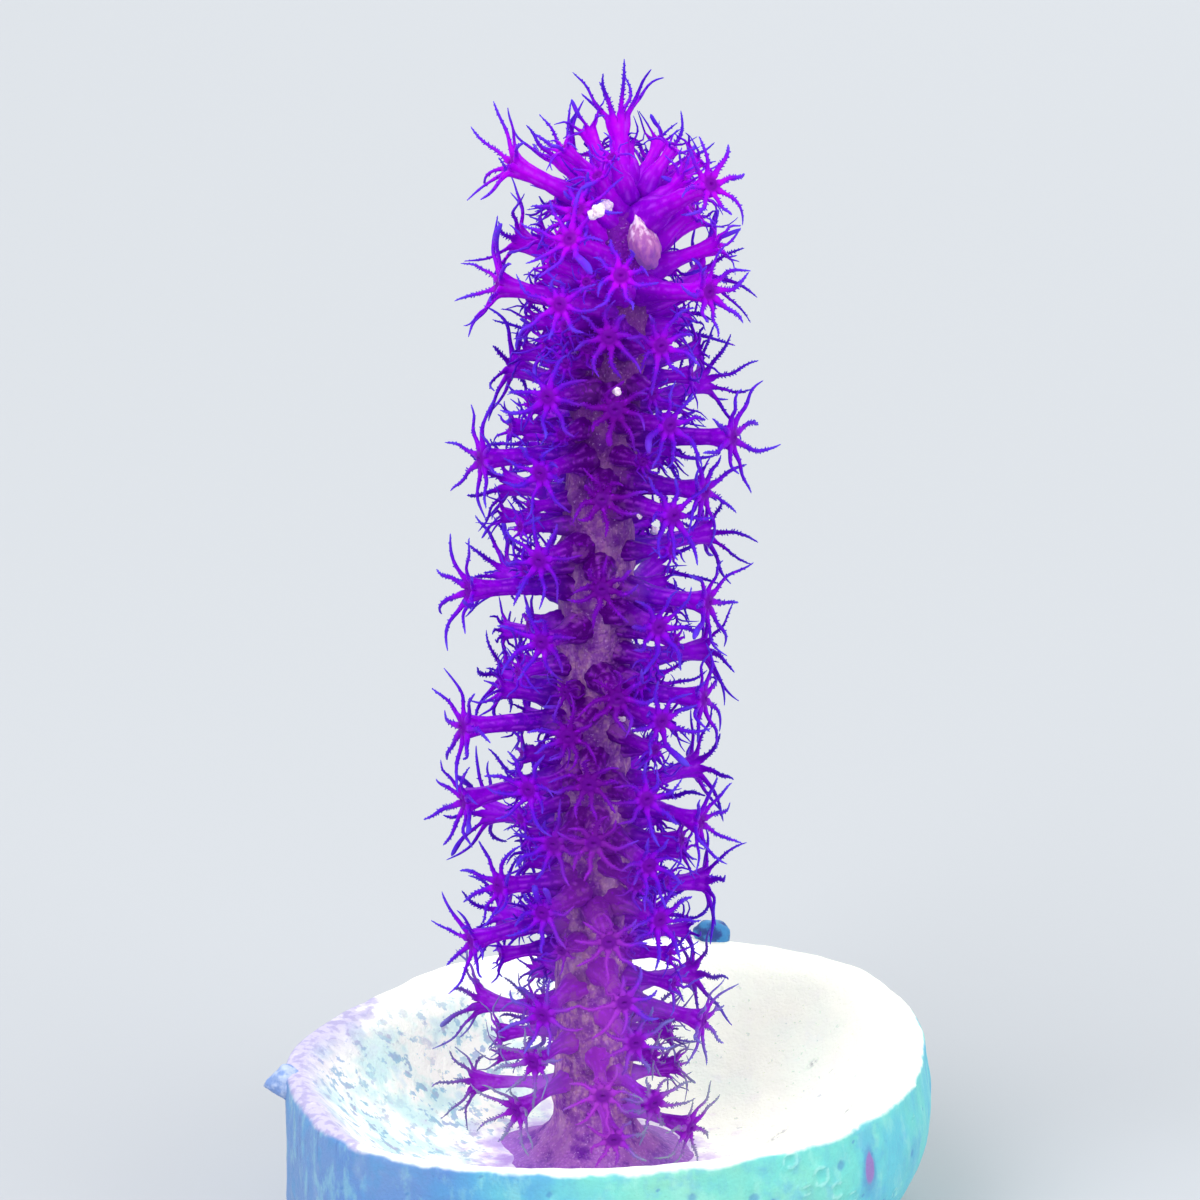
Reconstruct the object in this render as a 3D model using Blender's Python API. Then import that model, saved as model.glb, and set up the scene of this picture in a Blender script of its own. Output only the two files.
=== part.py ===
"""A gorgonian colony that stands in its dished frag plug.

Two solids. The plug is one cast dish with a lip, a hollow top and a flat underside. The colony
grew as one piece: an upright stem with a spreading foot, and polyps with eight tentacles each.

Lengths are in metres, with +Z up. The origin is the centre of the plug's flat underside.
Azimuths are in degrees from +X towards +Y, and the colony's best side faces -Y.
"""
import math
import random

import bmesh
import bpy
import numpy as np
from mathutils import Vector

MM = 0.001
TAU = 2 * math.pi

# Plug
RIM_HEIGHT = 9.5 * MM
FLOOR_HEIGHT = 4.3 * MM
FLOOR_RADIUS = 5.0 * MM
PLUG_SEGMENTS = 36
# The cast rim is not round: its radius in millimetres every 22.5 degrees from +X
RIM_RADII = (14.8, 15.6, 16.6, 16.0, 14.9, 14.1, 13.4, 13.6,
             14.8, 15.3, 16.1, 15.2, 14.5, 14.3, 14.5, 14.6)
LIP_WIDTH = (1.0 * MM, 2.6 * MM)
LIP_NARROW_AZIMUTH = 264
LIP_ROUNDING = 0.35 * MM
BOWL_RINGS = 4
BOWL_POWER = 2.2
SIDE_BULGE = 0.35 * MM
CHAMFER_AZIMUTH = -20
CHAMFER_HEIGHT = (1.6 * MM, 5.0 * MM)
CHAMFER_INSET = (0.8 * MM, 2.8 * MM)

# Knob on the left edge and lump on the back edge: azimuth, height and half sizes
KNOB_AZIMUTH = 189
KNOB_HEIGHT = 8.9 * MM
KNOB_SIZE = (1.1 * MM, 0.7 * MM, 0.65 * MM)
LUMP_AZIMUTH = 71
LUMP_HEIGHT = 9.7 * MM
LUMP_SIZE = (0.8 * MM, 1.0 * MM, 0.8 * MM)

# Stem: the foot stands just clear of the dish floor
FOOT_GAP = 0.3 * MM
FOOT_RADIUS = 3.2 * MM
FOOT_FLARE = 2.2 * MM
STEM_RADIUS = (1.85 * MM, 1.5 * MM)
STEM_TOP = 50.3 * MM
STEM_ROUNDING = 2.4 * MM
STEM_SIDES = 10
STEM_RINGS = 8
STEM_SHIFT = -0.6 * MM
STEM_LEAN = 1.5 * MM
LEAN_START = 25 * MM
STEM_SWAY = 0.25 * MM
SWAY_PITCH = 48 * MM

# Bare pale bud at the tip: height, azimuth, half sizes
BUD_HEIGHT = 48.6 * MM
BUD_AZIMUTH = 300
BUD_SIZE = (0.7 * MM, 0.7 * MM, 1.2 * MM)

# Polyps
TENTACLES = 8
COLUMN_SIDES = 4
COLUMN_BASE = 0.8 * MM
ROOT_OFFSET = 0.9 * MM
COLUMN_WAIST = 0.4 * MM
WAIST_TO_CROWN = 0.8 * MM
CROWN_RADIUS = 0.55 * MM
MOUTH_RISE = 0.10 * MM
TENTACLE_START = 0.3 * MM
TENTACLE_LENGTH = (1.9 * MM, 2.8 * MM)
TENTACLE_WIDTH = 0.17 * MM
TENTACLE_BEND = 0.55
STRAIGHT_CURL = 10
OPENING = (55, 82)
TOP_OPENING = (32, 50)
CURL = (-25, 35)
SWAY = 0.12
SEED = 361

# A tentacle that would touch its neighbours, the dish or the stem is tried again, a little shorter
TRIES = 14
SHORTER = 0.96
PATH_STEPS = 8
COLUMN_STEPS = 6
NEARBY = 8 * MM
CLEARANCE = 0.5 * MM
WIDEST_REACH = 7.9 * MM
DISH_CLEARANCE = 0.55 * MM

# Each polyp: height of its crown, azimuth, reach from the stem's middle line, and how far its
# column points above level, in millimetres and degrees
LEFT = ((52.0, 193, 5.4, 30), (46.5, 190, 5.3, 14), (39.0, 206, 6.0, 4), (33.0, 208, 6.4, 6),
        (26.5, 208, 6.6, 6), (22.8, 205, 6.4, -4), (19.0, 221, 5.6, 6), (16.0, 207, 6.2, -4))
LEFT_FRONT = ((49.2, 236, 4.2, 30), (46.5, 240, 5.0, 16), (42.3, 238, 5.0, 10), (38.8, 237, 5.0, 4),
              (34.8, 239, 5.0, 6), (31.0, 242, 5.0, 4), (24.0, 238, 5.4, 6), (21.5, 250, 5.2, 0),
              (18.0, 243, 5.0, 0), (13.0, 243, 5.0, -4), (10.4, 234, 4.6, 0), (8.0, 226, 5.0, -8))
FRONT = ((47.8, 270, 4.4, 24), (45.2, 267, 5.0, 10), (42.0, 273, 5.2, 8), (37.9, 270, 5.2, 4),
         (33.8, 272, 5.4, 4), (28.6, 281, 5.4, 4), (26.8, 258, 5.4, 0), (24.6, 268, 5.6, 2),
         (21.8, 270, 5.6, 4), (17.0, 277, 5.6, 0), (14.0, 284, 5.6, 0), (9.6, 274, 5.8, -4),
         (7.2, 280, 5.2, -10))
RIGHT_FRONT = ((50.2, 228, 3.2, 46), (44.7, 294, 5.0, 12), (41.0, 303, 5.0, 8), (36.9, 306, 5.4, 6),
               (31.7, 302, 5.2, 4), (27.2, 305, 5.2, 0), (23.5, 298, 5.0, 4), (20.5, 296, 5.6, 0),
               (17.5, 306, 5.0, 2), (11.8, 291, 5.2, 0), (8.6, 303, 5.0, -4))
RIGHT = ((51.8, 310, 5.3, 28), (47.0, 314, 5.6, 8), (40.0, 335, 6.2, 4), (37.6, 327, 5.4, 0),
         (32.3, 332, 5.6, 0), (27.6, 335, 5.4, 4), (21.7, 333, 5.4, -4), (11.8, 337, 5.4, -6),
         (6.8, 327, 5.2, -6))
RIGHT_BACK = ((46.0, 36, 4.8, 12), (41.0, 36, 5.4, 8), (34.0, 28, 5.6, 4), (28.8, 14, 5.2, 4),
              (22.6, 30, 5.4, 4), (17.6, 10, 5.2, 0), (12.4, 28, 5.2, 0))
LEFT_BACK = ((48.0, 163, 4.8, 20), (42.0, 154, 4.8, 10), (36.4, 152, 4.7, 6), (32.0, 146, 5.0, 4),
             (27.2, 150, 4.7, 4), (20.4, 152, 5.4, 0), (15.2, 144, 5.2, 0), (11.1, 158, 5.6, 0),
             (7.2, 162, 5.8, -4))
TOP = ((53.2, 112, 2.0, 66), (51.5, 150, 3.2, 50), (50.5, 71, 4.0, 36))

# The back is filled by three more files of polyps in even steps
BACK_AZIMUTHS = (60, 89, 118)
BACK_ROWS = 7
BACK_LOWEST = 9.0 * MM
BACK_STEP = 5.7 * MM
BACK_REACH = 5.3 * MM
BACK_LIFT = 6


def clear_scene():
    """Remove what the scene holds before modelling."""
    for thing in list(bpy.data.objects):
        bpy.data.objects.remove(thing, do_unlink=True)


def make_material(name, colour, roughness):
    """A plain Principled material."""
    material = bpy.data.materials.new(name)
    material.use_nodes = True
    shader = material.node_tree.nodes["Principled BSDF"]
    shader.inputs["Base Color"].default_value = (*colour, 1.0)
    shader.inputs["Roughness"].default_value = roughness
    shader.inputs["Metallic"].default_value = 0.0
    return material


def make_object(name, bm, material):
    """Turn a bmesh into a smooth-shaded object with outward faces."""
    bmesh.ops.recalc_face_normals(bm, faces=bm.faces)
    mesh = bpy.data.meshes.new(name)
    bm.to_mesh(mesh)
    bm.free()
    mesh.shade_smooth()
    mesh.set_sharp_from_angle(angle=math.radians(50))
    mesh.materials.append(material)
    thing = bpy.data.objects.new(name, mesh)
    bpy.context.scene.collection.objects.link(thing)
    return thing


def join_by_union(body, addition):
    """Fuse a guide object into a body with an exact Boolean union."""
    addition.hide_render = True
    addition.display_type = 'WIRE'
    union = body.modifiers.new(addition.name, 'BOOLEAN')
    union.operation = 'UNION'
    union.solver = 'EXACT'
    union.use_self = True
    union.object = addition


def mix(pair, share):
    """The value that lies this share of the way along a pair."""
    return pair[0] + (pair[1] - pair[0]) * share


def facing(azimuth, towards):
    """1 where an azimuth faces a direction, falling smoothly to 0 opposite it."""
    return 0.5 + 0.5 * math.cos(math.radians(azimuth - towards))


def on_ring(azimuth, radius, height):
    """A point at an azimuth in degrees, a distance from the Z axis and a height."""
    angle = math.radians(azimuth)
    return Vector((radius * math.cos(angle), radius * math.sin(angle), height))


def rim_radius(azimuth):
    """Outer radius of the plug's rim: a smooth closed curve through RIM_RADII."""
    place = azimuth / 360 * len(RIM_RADII)
    first = math.floor(place)
    part = place - first
    before, start, end, after = (RIM_RADII[(first + i) % len(RIM_RADII)] for i in (-1, 0, 1, 2))
    bend = 2 * start - 2 * end + (end - before) / 2 + (after - start) / 2
    curve = -3 * start + 3 * end - (end - before) - (after - start) / 2
    return (start + (end - before) / 2 * part + curve * part ** 2 + bend * part ** 3) * MM


def bowl_size(azimuth):
    """Radius of the dish's inner edge, and the depth of the dish below it."""
    inner = rim_radius(azimuth) - mix(LIP_WIDTH, 1 - facing(azimuth, LIP_NARROW_AZIMUTH))
    return inner, RIM_HEIGHT - LIP_ROUNDING - FLOOR_HEIGHT


def plug_profile(azimuth):
    """Radius and height pairs from the dish floor, over the lip and down to the underside."""
    rim = rim_radius(azimuth)
    inner, depth = bowl_size(azimuth)
    shares = [ring / BOWL_RINGS for ring in range(BOWL_RINGS + 1)]
    bowl = [(mix((FLOOR_RADIUS, inner), share), FLOOR_HEIGHT + depth * share ** BOWL_POWER)
            for share in shares]
    lip = [(inner + LIP_ROUNDING, RIM_HEIGHT), (rim - LIP_ROUNDING, RIM_HEIGHT),
           (rim, RIM_HEIGHT - LIP_ROUNDING)]
    turned = facing(azimuth, CHAMFER_AZIMUTH)
    chamfer = mix(CHAMFER_HEIGHT, turned)
    bulge = SIDE_BULGE * turned
    side = [(rim + bulge, mix((chamfer, RIM_HEIGHT), 0.45)), (rim + bulge / 2, chamfer),
            (rim - mix(CHAMFER_INSET, turned), 0.0)]
    return bowl + lip + side


def build_plug():
    """The dished plug, lofted through one profile per azimuth."""
    bm = bmesh.new()
    azimuths = [360 * i / PLUG_SEGMENTS for i in range(PLUG_SEGMENTS)]
    columns = [[bm.verts.new(on_ring(azimuth, *point)) for point in plug_profile(azimuth)]
               for azimuth in azimuths]
    loft(bm, columns)
    floor = bm.verts.new((0, 0, FLOOR_HEIGHT))
    underside = bm.verts.new((0, 0, 0))
    for here, there in zip(columns, columns[1:] + columns[:1]):
        bm.faces.new((floor, here[0], there[0]))
        bm.faces.new((underside, there[-1], here[-1]))
    plug = make_object("frag_plug", bm, make_material("pale_ceramic", (0.75, 0.88, 0.90), 0.6))
    join_by_union(plug, build_bump("edge_knob", KNOB_AZIMUTH, KNOB_HEIGHT, KNOB_SIZE))
    join_by_union(plug, build_bump("edge_lump", LUMP_AZIMUTH, LUMP_HEIGHT, LUMP_SIZE))
    return plug


def loft(bm, columns):
    """Skin a closed row of point columns with quads."""
    for here, there in zip(columns, columns[1:] + columns[:1]):
        for low, high in zip(range(len(here) - 1), range(1, len(here))):
            bm.faces.new((here[low], there[low], there[high], here[high]))


def build_bump(name, azimuth, height, size):
    """A small rough lump on the plug's edge, its first half size pointing outwards."""
    bm = bmesh.new()
    bmesh.ops.create_icosphere(bm, subdivisions=1, radius=1.0)
    centre = on_ring(azimuth, rim_radius(azimuth), height)
    out = on_ring(azimuth, 1.0, 0.0)
    along = Vector((-out.y, out.x, 0))
    for vert in bm.verts:
        x, y, z = (part * half for part, half in zip(vert.co, size))
        vert.co = centre + x * out + y * along + Vector((0, 0, z))
    return make_object(name, bm, make_material(name, (0.3, 0.45, 0.8), 0.6))


def stem_centre(height):
    """The stem's middle line: upright below, leaning a little to +X above LEAN_START."""
    rise = max(0.0, height - LEAN_START) / (STEM_TOP - LEAN_START)
    sway = STEM_SWAY * math.sin(TAU * height / SWAY_PITCH)
    return Vector((STEM_SHIFT + STEM_LEAN * rise ** 2, sway, height))


def stem_radius(height):
    """Radius of the stem: flared at the foot, slim above and rounded at the tip."""
    low = FLOOR_HEIGHT + FOOT_GAP
    share = (height - low) / (STEM_TOP - low)
    flare = max(0.0, 1 - (height - low) / FOOT_FLARE) ** 2
    slim = mix(STEM_RADIUS, share)
    radius = slim + (FOOT_RADIUS - slim) * flare
    left = (STEM_TOP - height) / STEM_ROUNDING
    return radius * math.sqrt(1 - (1 - left) ** 2) if left < 1 else radius


def stem_heights():
    """Heights of the stem's rings: close together at the flared foot and the rounded tip."""
    low = FLOOR_HEIGHT + FOOT_GAP
    foot = [low, low + 0.35 * FOOT_FLARE, low + FOOT_FLARE]
    tip = [STEM_TOP - STEM_ROUNDING * share for share in (1.0, 0.45, 0.1)]
    steps = [mix((foot[-1], tip[0]), ring / STEM_RINGS) for ring in range(1, STEM_RINGS)]
    return foot + steps + tip


def build_stem():
    """The stem with its foot, as one closed loft."""
    bm = bmesh.new()
    heights = stem_heights()
    columns = []
    for side in range(STEM_SIDES):
        azimuth = 360 * side / STEM_SIDES
        columns.append([bm.verts.new(stem_centre(z) + on_ring(azimuth, stem_radius(z), 0.0))
                        for z in heights])
    loft(bm, columns)
    bm.faces.new([column[0] for column in reversed(columns)])
    tip = bm.verts.new(stem_centre(STEM_TOP))
    for here, there in zip(columns, columns[1:] + columns[:1]):
        bm.faces.new((here[-1], there[-1], tip))
    return make_object("gorgonian_branch", bm, make_material("violet_rind", (0.35, 0.02, 0.55), 0.6))


def polyp_layout():
    """Each polyp's height, azimuth, reach and lift, with the range its crown opens by."""
    sides = LEFT + LEFT_FRONT + FRONT + RIGHT_FRONT + RIGHT + RIGHT_BACK + LEFT_BACK
    chosen = [(polyp, OPENING) for polyp in sides] + [(polyp, TOP_OPENING) for polyp in TOP]
    layout = [((height * MM, azimuth, reach * MM, lift), opening)
              for (height, azimuth, reach, lift), opening in chosen]
    for file, azimuth in enumerate(BACK_AZIMUTHS):
        for row in range(BACK_ROWS):
            height = BACK_LOWEST + (row + file % 2 / 2) * BACK_STEP
            layout.append(((height, azimuth, BACK_REACH, BACK_LIFT), OPENING))
    return layout


def polyp_frame(height, azimuth, reach, lift):
    """The crown's centre, the way its column points, and the two directions across that."""
    out = on_ring(azimuth, 1.0, 0.0)
    crown = stem_centre(height) + reach * out
    axis = math.cos(math.radians(lift)) * out + math.sin(math.radians(lift)) * Vector((0, 0, 1))
    across = Vector((-out.y, out.x, 0))
    return crown, axis, across, axis.cross(across)


def tentacle_point(crown, axis, spoke, opening, length, curl, sway, share):
    """A point along a tentacle that leaves the crown and bends evenly from opening by curl."""
    bend = curl if abs(curl) > 1e-4 else 1e-4
    forward = (math.sin(opening + bend * share) - math.sin(opening)) / bend
    outward = (math.cos(opening) - math.cos(opening + bend * share)) / bend
    aside = axis.cross(spoke) * sway * length * share ** 2
    return crown + spoke * TENTACLE_START + length * (axis * forward + spoke * outward) + aside


def dish_height(point):
    """Height of the plug's surface below a point."""
    radius = math.hypot(point.x, point.y)
    azimuth = math.degrees(math.atan2(point.y, point.x)) % 360
    inner, depth = bowl_size(azimuth)
    share = min(1.0, max(0.0, (radius - FLOOR_RADIUS) / (inner - FLOOR_RADIUS)))
    return FLOOR_HEIGHT + depth * share ** BOWL_POWER


def room_around(path, placed):
    """How far a tentacle's path stays from what it must miss, below 0 where it leaves its space."""
    outer = path[PATH_STEPS // 2:]
    if any(point.z - dish_height(point) < DISH_CLEARANCE for point in outer):
        return -1.0
    middles = [stem_centre(point.z) for point in outer]
    reaches = [(point - middle).length for point, middle in zip(outer, middles)]
    if max(reaches) > WIDEST_REACH or min(reaches) < STEM_RADIUS[0] + CLEARANCE:
        return -1.0
    if not len(placed):
        return 1.0
    gaps = np.array(outer)[:, None, :] - placed[None, :, :]
    return math.sqrt((gaps ** 2).sum(axis=2).min())


def choose_tentacle(rng, crown, axis, spoke, opening, placed):
    """Length, curl and sway of the first try with room around it, or of the roomiest."""
    roomiest, choice = -2.0, None
    for attempt in range(TRIES):
        length = rng.uniform(*TENTACLE_LENGTH) * SHORTER ** attempt
        curl = math.radians(rng.uniform(*CURL))
        shape = (length, curl, rng.uniform(-SWAY, SWAY))
        path = [tentacle_point(crown, axis, spoke, opening, *shape, step / PATH_STEPS)
                for step in range(1, PATH_STEPS + 1)]
        room = room_around(path, placed)
        if room > roomiest:
            roomiest, choice = room, (shape, path)
        if room > CLEARANCE:
            break
    return choice


def spoke_of(across, up, angle):
    """The direction at an angle round a crown."""
    return math.cos(angle) * across + math.sin(angle) * up


def plan_polyps():
    """Every polyp with its spin, opening and eight tentacles, none of which cross."""
    rng = random.Random(SEED)
    plans = [(polyp, rng.uniform(0, TAU / TENTACLES), math.radians(rng.uniform(*opening)))
             for polyp, opening in polyp_layout()]
    columns = []
    for (height, azimuth, reach, lift), spin, opening in plans:
        crown, axis, across, up = polyp_frame(height, azimuth, reach, lift)
        length = reach - STEM_RADIUS[0]
        columns += [crown - axis * length * step / COLUMN_STEPS for step in range(COLUMN_STEPS)]
    owners = np.repeat(np.arange(len(plans)), COLUMN_STEPS)
    placed = np.array(columns)
    polyps = []
    for number, (polyp, spin, opening) in enumerate(plans):
        crown, axis, across, up = polyp_frame(*polyp)
        near = ((placed - np.array(crown)) ** 2).sum(axis=1) < NEARBY ** 2
        others = placed[near & (owners != number)]
        shapes = []
        for i in range(TENTACLES):
            spoke = spoke_of(across, up, spin + TAU * i / TENTACLES)
            shape, path = choose_tentacle(rng, crown, axis, spoke, opening, others)
            shapes.append(shape)
            placed = np.vstack((placed, np.array(path)))
            owners = np.append(owners, np.full(len(path), number))
        polyps.append((polyp, spin, opening, shapes))
    return polyps


def add_polyp(bm, polyp, spin, opening, shapes):
    """One closed polyp: a column that widens to its crown, and eight bent tentacles."""
    height, azimuth, reach, lift = polyp
    crown, axis, across, up = polyp_frame(*polyp)
    half = TAU / TENTACLES / 2
    angles = [spin + 2 * half * i for i in range(TENTACLES)]
    ring = [bm.verts.new(crown + CROWN_RADIUS * spoke_of(across, up, angle - half))
            for angle in angles]
    root = crown - axis * (reach / math.cos(math.radians(lift)) - ROOT_OFFSET)
    waist = crown - axis * WAIST_TO_CROWN
    corners = [spoke_of(across, up, angle - half) for angle in angles[::2]]
    lower = [bm.verts.new(root + COLUMN_BASE * corner) for corner in corners]
    upper = [bm.verts.new(waist + COLUMN_WAIST * corner) for corner in corners]
    bm.faces.new(list(reversed(lower)))
    for i in range(COLUMN_SIDES):
        after = (i + 1) % COLUMN_SIDES
        first, middle, last = (ring[(2 * i + j) % TENTACLES] for j in range(3))
        bm.faces.new((lower[i], lower[after], upper[after], upper[i]))
        bm.faces.new((upper[i], upper[after], middle))
        bm.faces.new((upper[i], middle, first))
        bm.faces.new((upper[after], last, middle))
    mouth = bm.verts.new(crown + axis * MOUTH_RISE)
    for i, (angle, shape) in enumerate(zip(angles, shapes)):
        start = (mouth, ring[i], ring[(i + 1) % TENTACLES])
        add_tentacle(bm, start, crown, axis, spoke_of(across, up, angle), opening, shape)


def add_tentacle(bm, start, crown, axis, spoke, opening, shape):
    """A three-sided tentacle from its root triangle to a pointed tip, bent once if it curls."""
    tip = bm.verts.new(tentacle_point(crown, axis, spoke, opening, *shape, 1.0))
    curl = shape[1]
    if abs(curl) > math.radians(STRAIGHT_CURL):
        middle = tentacle_point(crown, axis, spoke, opening, *shape, TENTACLE_BEND)
        slope = opening + curl * TENTACLE_BEND
        inner = math.sin(slope) * axis - math.cos(slope) * spoke
        side = 0.9 * axis.cross(spoke)
        corners = (inner, -side - inner / 2, side - inner / 2)
        bend = [bm.verts.new(middle + TENTACLE_WIDTH * corner) for corner in corners]
        for j in range(3):
            k = (j + 1) % 3
            bm.faces.new((start[j], start[k], bend[k], bend[j]))
        start = bend
    for j in range(3):
        bm.faces.new((start[j], start[(j + 1) % 3], tip))


def build_polyps():
    """All the polyps, as one guide object that the stem is fused with."""
    bm = bmesh.new()
    for plan in plan_polyps():
        add_polyp(bm, *plan)
    return make_object("polyps", bm, make_material("polyp_violet", (0.3, 0.02, 0.8), 0.5))


def build_bud():
    """The pale bare bud beside the tip."""
    bm = bmesh.new()
    bmesh.ops.create_icosphere(bm, subdivisions=1, radius=1.0)
    centre = stem_centre(BUD_HEIGHT) + on_ring(BUD_AZIMUTH, stem_radius(BUD_HEIGHT), 0.0)
    for vert in bm.verts:
        vert.co = centre + Vector([part * half for part, half in zip(vert.co, BUD_SIZE)])
    return make_object("bare_bud", bm, make_material("pale_bud", (0.8, 0.55, 0.75), 0.6))


def build_branch():
    """The whole colony as one solid."""
    branch = build_stem()
    join_by_union(branch, build_polyps())
    join_by_union(branch, build_bud())
    return branch


clear_scene()
build_plug()
build_branch()
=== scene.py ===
"""Looks for the gorgonian frag: fine polyps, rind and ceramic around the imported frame.

Lengths are in metres, with +Z up. The origin is the centre of the plug's flat underside.
Azimuths are in degrees from +X towards +Y, and the camera looks from -Y.
"""
import math
import random
from collections import namedtuple

import bmesh
import bpy
import numpy as np
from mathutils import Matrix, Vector, noise
from mathutils.bvhtree import BVHTree


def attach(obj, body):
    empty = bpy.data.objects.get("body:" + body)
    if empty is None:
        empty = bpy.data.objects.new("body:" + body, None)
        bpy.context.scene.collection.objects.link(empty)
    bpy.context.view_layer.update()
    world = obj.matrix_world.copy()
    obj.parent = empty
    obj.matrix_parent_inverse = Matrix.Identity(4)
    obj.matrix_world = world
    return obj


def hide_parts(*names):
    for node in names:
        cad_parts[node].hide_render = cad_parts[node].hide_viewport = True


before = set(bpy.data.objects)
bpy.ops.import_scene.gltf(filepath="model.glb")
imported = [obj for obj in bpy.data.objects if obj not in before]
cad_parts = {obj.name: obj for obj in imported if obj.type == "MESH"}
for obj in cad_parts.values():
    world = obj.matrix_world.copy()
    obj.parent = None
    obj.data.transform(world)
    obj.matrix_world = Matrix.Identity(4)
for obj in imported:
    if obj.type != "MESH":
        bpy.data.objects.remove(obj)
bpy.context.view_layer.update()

MM = 0.001
TAU = 2 * math.pi
# Azimuths of the camera's side and of the far side
IN_FRONT = 270
BEHIND = 90

# Camera: the pixels named below are of the 1200 x 1200 photograph
FRAME_SIDE = 1200
VIEW_TARGET = Vector((-0.3 * MM, 0, 31.5 * MM))
VIEW_DISTANCE = 280 * MM
VIEW_ELEVATION = math.radians(17.5)
FOCAL_PIXELS = 6170
SENSOR = 36

# Plug
RIM_HEIGHT = 9.5 * MM
FLOOR_HEIGHT = 4.3 * MM
FLOOR_RADIUS = 5.0 * MM
# Radius of the rim in millimetres every 22.5 degrees from +X
RIM_RADII = (14.8, 15.6, 16.6, 16.0, 14.9, 14.1, 13.4, 13.6,
             14.8, 15.3, 16.1, 15.2, 14.5, 14.3, 14.5, 14.6)
LIP_WIDTH = (1.0 * MM, 2.6 * MM)
LIP_NARROW_AZIMUTH = 264
LIP_ROUNDING = 0.35 * MM
BOWL_POWER = 2.2
SIDE_BULGE = 0.35 * MM
BULGE_PLACE = 0.45
CHAMFER_AZIMUTH = -20
CHAMFER_HEIGHT = (1.6 * MM, 5.0 * MM)
CHAMFER_INSET = (0.8 * MM, 2.8 * MM)
KNOB_AZIMUTH = 189
KNOB_HEIGHT = 8.9 * MM
LUMP_AZIMUTH = 71
LUMP_HEIGHT = 9.7 * MM
LUMP_SIZE = (0.8 * MM, 1.0 * MM, 0.8 * MM)

# Stem
FOOT_GAP = 0.3 * MM
FOOT_RADIUS = 3.2 * MM
FOOT_FLARE = 2.2 * MM
STEM_RADIUS = (1.85 * MM, 1.5 * MM)
STEM_TOP = 50.3 * MM
STEM_ROUNDING = 2.4 * MM
STEM_SHIFT = -0.6 * MM
STEM_LEAN = 1.5 * MM
LEAN_START = 25 * MM
STEM_SWAY = 0.25 * MM
SWAY_PITCH = 48 * MM
BUD_HEIGHT = 48.6 * MM
BUD_AZIMUTH = 300
BUD_SIZE = (0.7 * MM, 0.7 * MM, 1.2 * MM)

# Polyps
TENTACLES = 8
ROOT_OFFSET = 0.9 * MM
TENTACLE_START = 0.3 * MM
TENTACLE_LENGTH = (1.9 * MM, 2.8 * MM)
OPENING = (55, 82)
TOP_OPENING = (32, 50)
CURL = (-25, 35)
SWAY = 0.12
SEED = 361
TRIES = 14
SHORTER = 0.96
PATH_STEPS = 8
COLUMN_STEPS = 6
NEARBY = 8 * MM
CLEARANCE = 0.5 * MM
WIDEST_REACH = 7.9 * MM
DISH_CLEARANCE = 0.55 * MM
LEAST_BEND = 1e-4

# Each polyp: height of its crown, azimuth, reach from the stem's middle line, and how far its
# column points above level, in millimetres and degrees
LEFT = ((52.0, 193, 5.4, 30), (46.5, 190, 5.3, 14), (39.0, 206, 6.0, 4), (33.0, 208, 6.4, 6),
        (26.5, 208, 6.6, 6), (22.8, 205, 6.4, -4), (19.0, 221, 5.6, 6), (16.0, 207, 6.2, -4))
LEFT_FRONT = ((49.2, 236, 4.2, 30), (46.5, 240, 5.0, 16), (42.3, 238, 5.0, 10), (38.8, 237, 5.0, 4),
              (34.8, 239, 5.0, 6), (31.0, 242, 5.0, 4), (24.0, 238, 5.4, 6), (21.5, 250, 5.2, 0),
              (18.0, 243, 5.0, 0), (13.0, 243, 5.0, -4), (10.4, 234, 4.6, 0), (8.0, 226, 5.0, -8))
FRONT = ((47.8, 270, 4.4, 24), (45.2, 267, 5.0, 10), (42.0, 273, 5.2, 8), (37.9, 270, 5.2, 4),
         (33.8, 272, 5.4, 4), (28.6, 281, 5.4, 4), (26.8, 258, 5.4, 0), (24.6, 268, 5.6, 2),
         (21.8, 270, 5.6, 4), (17.0, 277, 5.6, 0), (14.0, 284, 5.6, 0), (9.6, 274, 5.8, -4),
         (7.2, 280, 5.2, -10))
RIGHT_FRONT = ((50.2, 228, 3.2, 46), (44.7, 294, 5.0, 12), (41.0, 303, 5.0, 8), (36.9, 306, 5.4, 6),
               (31.7, 302, 5.2, 4), (27.2, 305, 5.2, 0), (23.5, 298, 5.0, 4), (20.5, 296, 5.6, 0),
               (17.5, 306, 5.0, 2), (11.8, 291, 5.2, 0), (8.6, 303, 5.0, -4))
RIGHT = ((51.8, 310, 5.3, 28), (47.0, 314, 5.6, 8), (40.0, 335, 6.2, 4), (37.6, 327, 5.4, 0),
         (32.3, 332, 5.6, 0), (27.6, 335, 5.4, 4), (21.7, 333, 5.4, -4), (11.8, 337, 5.4, -6),
         (6.8, 327, 5.2, -6))
RIGHT_BACK = ((46.0, 36, 4.8, 12), (41.0, 36, 5.4, 8), (34.0, 28, 5.6, 4), (28.8, 14, 5.2, 4),
              (22.6, 30, 5.4, 4), (17.6, 10, 5.2, 0), (12.4, 28, 5.2, 0))
LEFT_BACK = ((48.0, 163, 4.8, 20), (42.0, 154, 4.8, 10), (36.4, 152, 4.7, 6), (32.0, 146, 5.0, 4),
             (27.2, 150, 4.7, 4), (20.4, 152, 5.4, 0), (15.2, 144, 5.2, 0), (11.1, 158, 5.6, 0),
             (7.2, 162, 5.8, -4))
TOP = ((53.2, 112, 2.0, 66), (51.5, 150, 3.2, 50), (50.5, 71, 4.0, 36))
BACK_AZIMUTHS = (60, 89, 118)
BACK_ROWS = 7
BACK_LOWEST = 9.0 * MM
BACK_STEP = 5.7 * MM
BACK_REACH = 5.3 * MM
BACK_LIFT = 6

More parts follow.
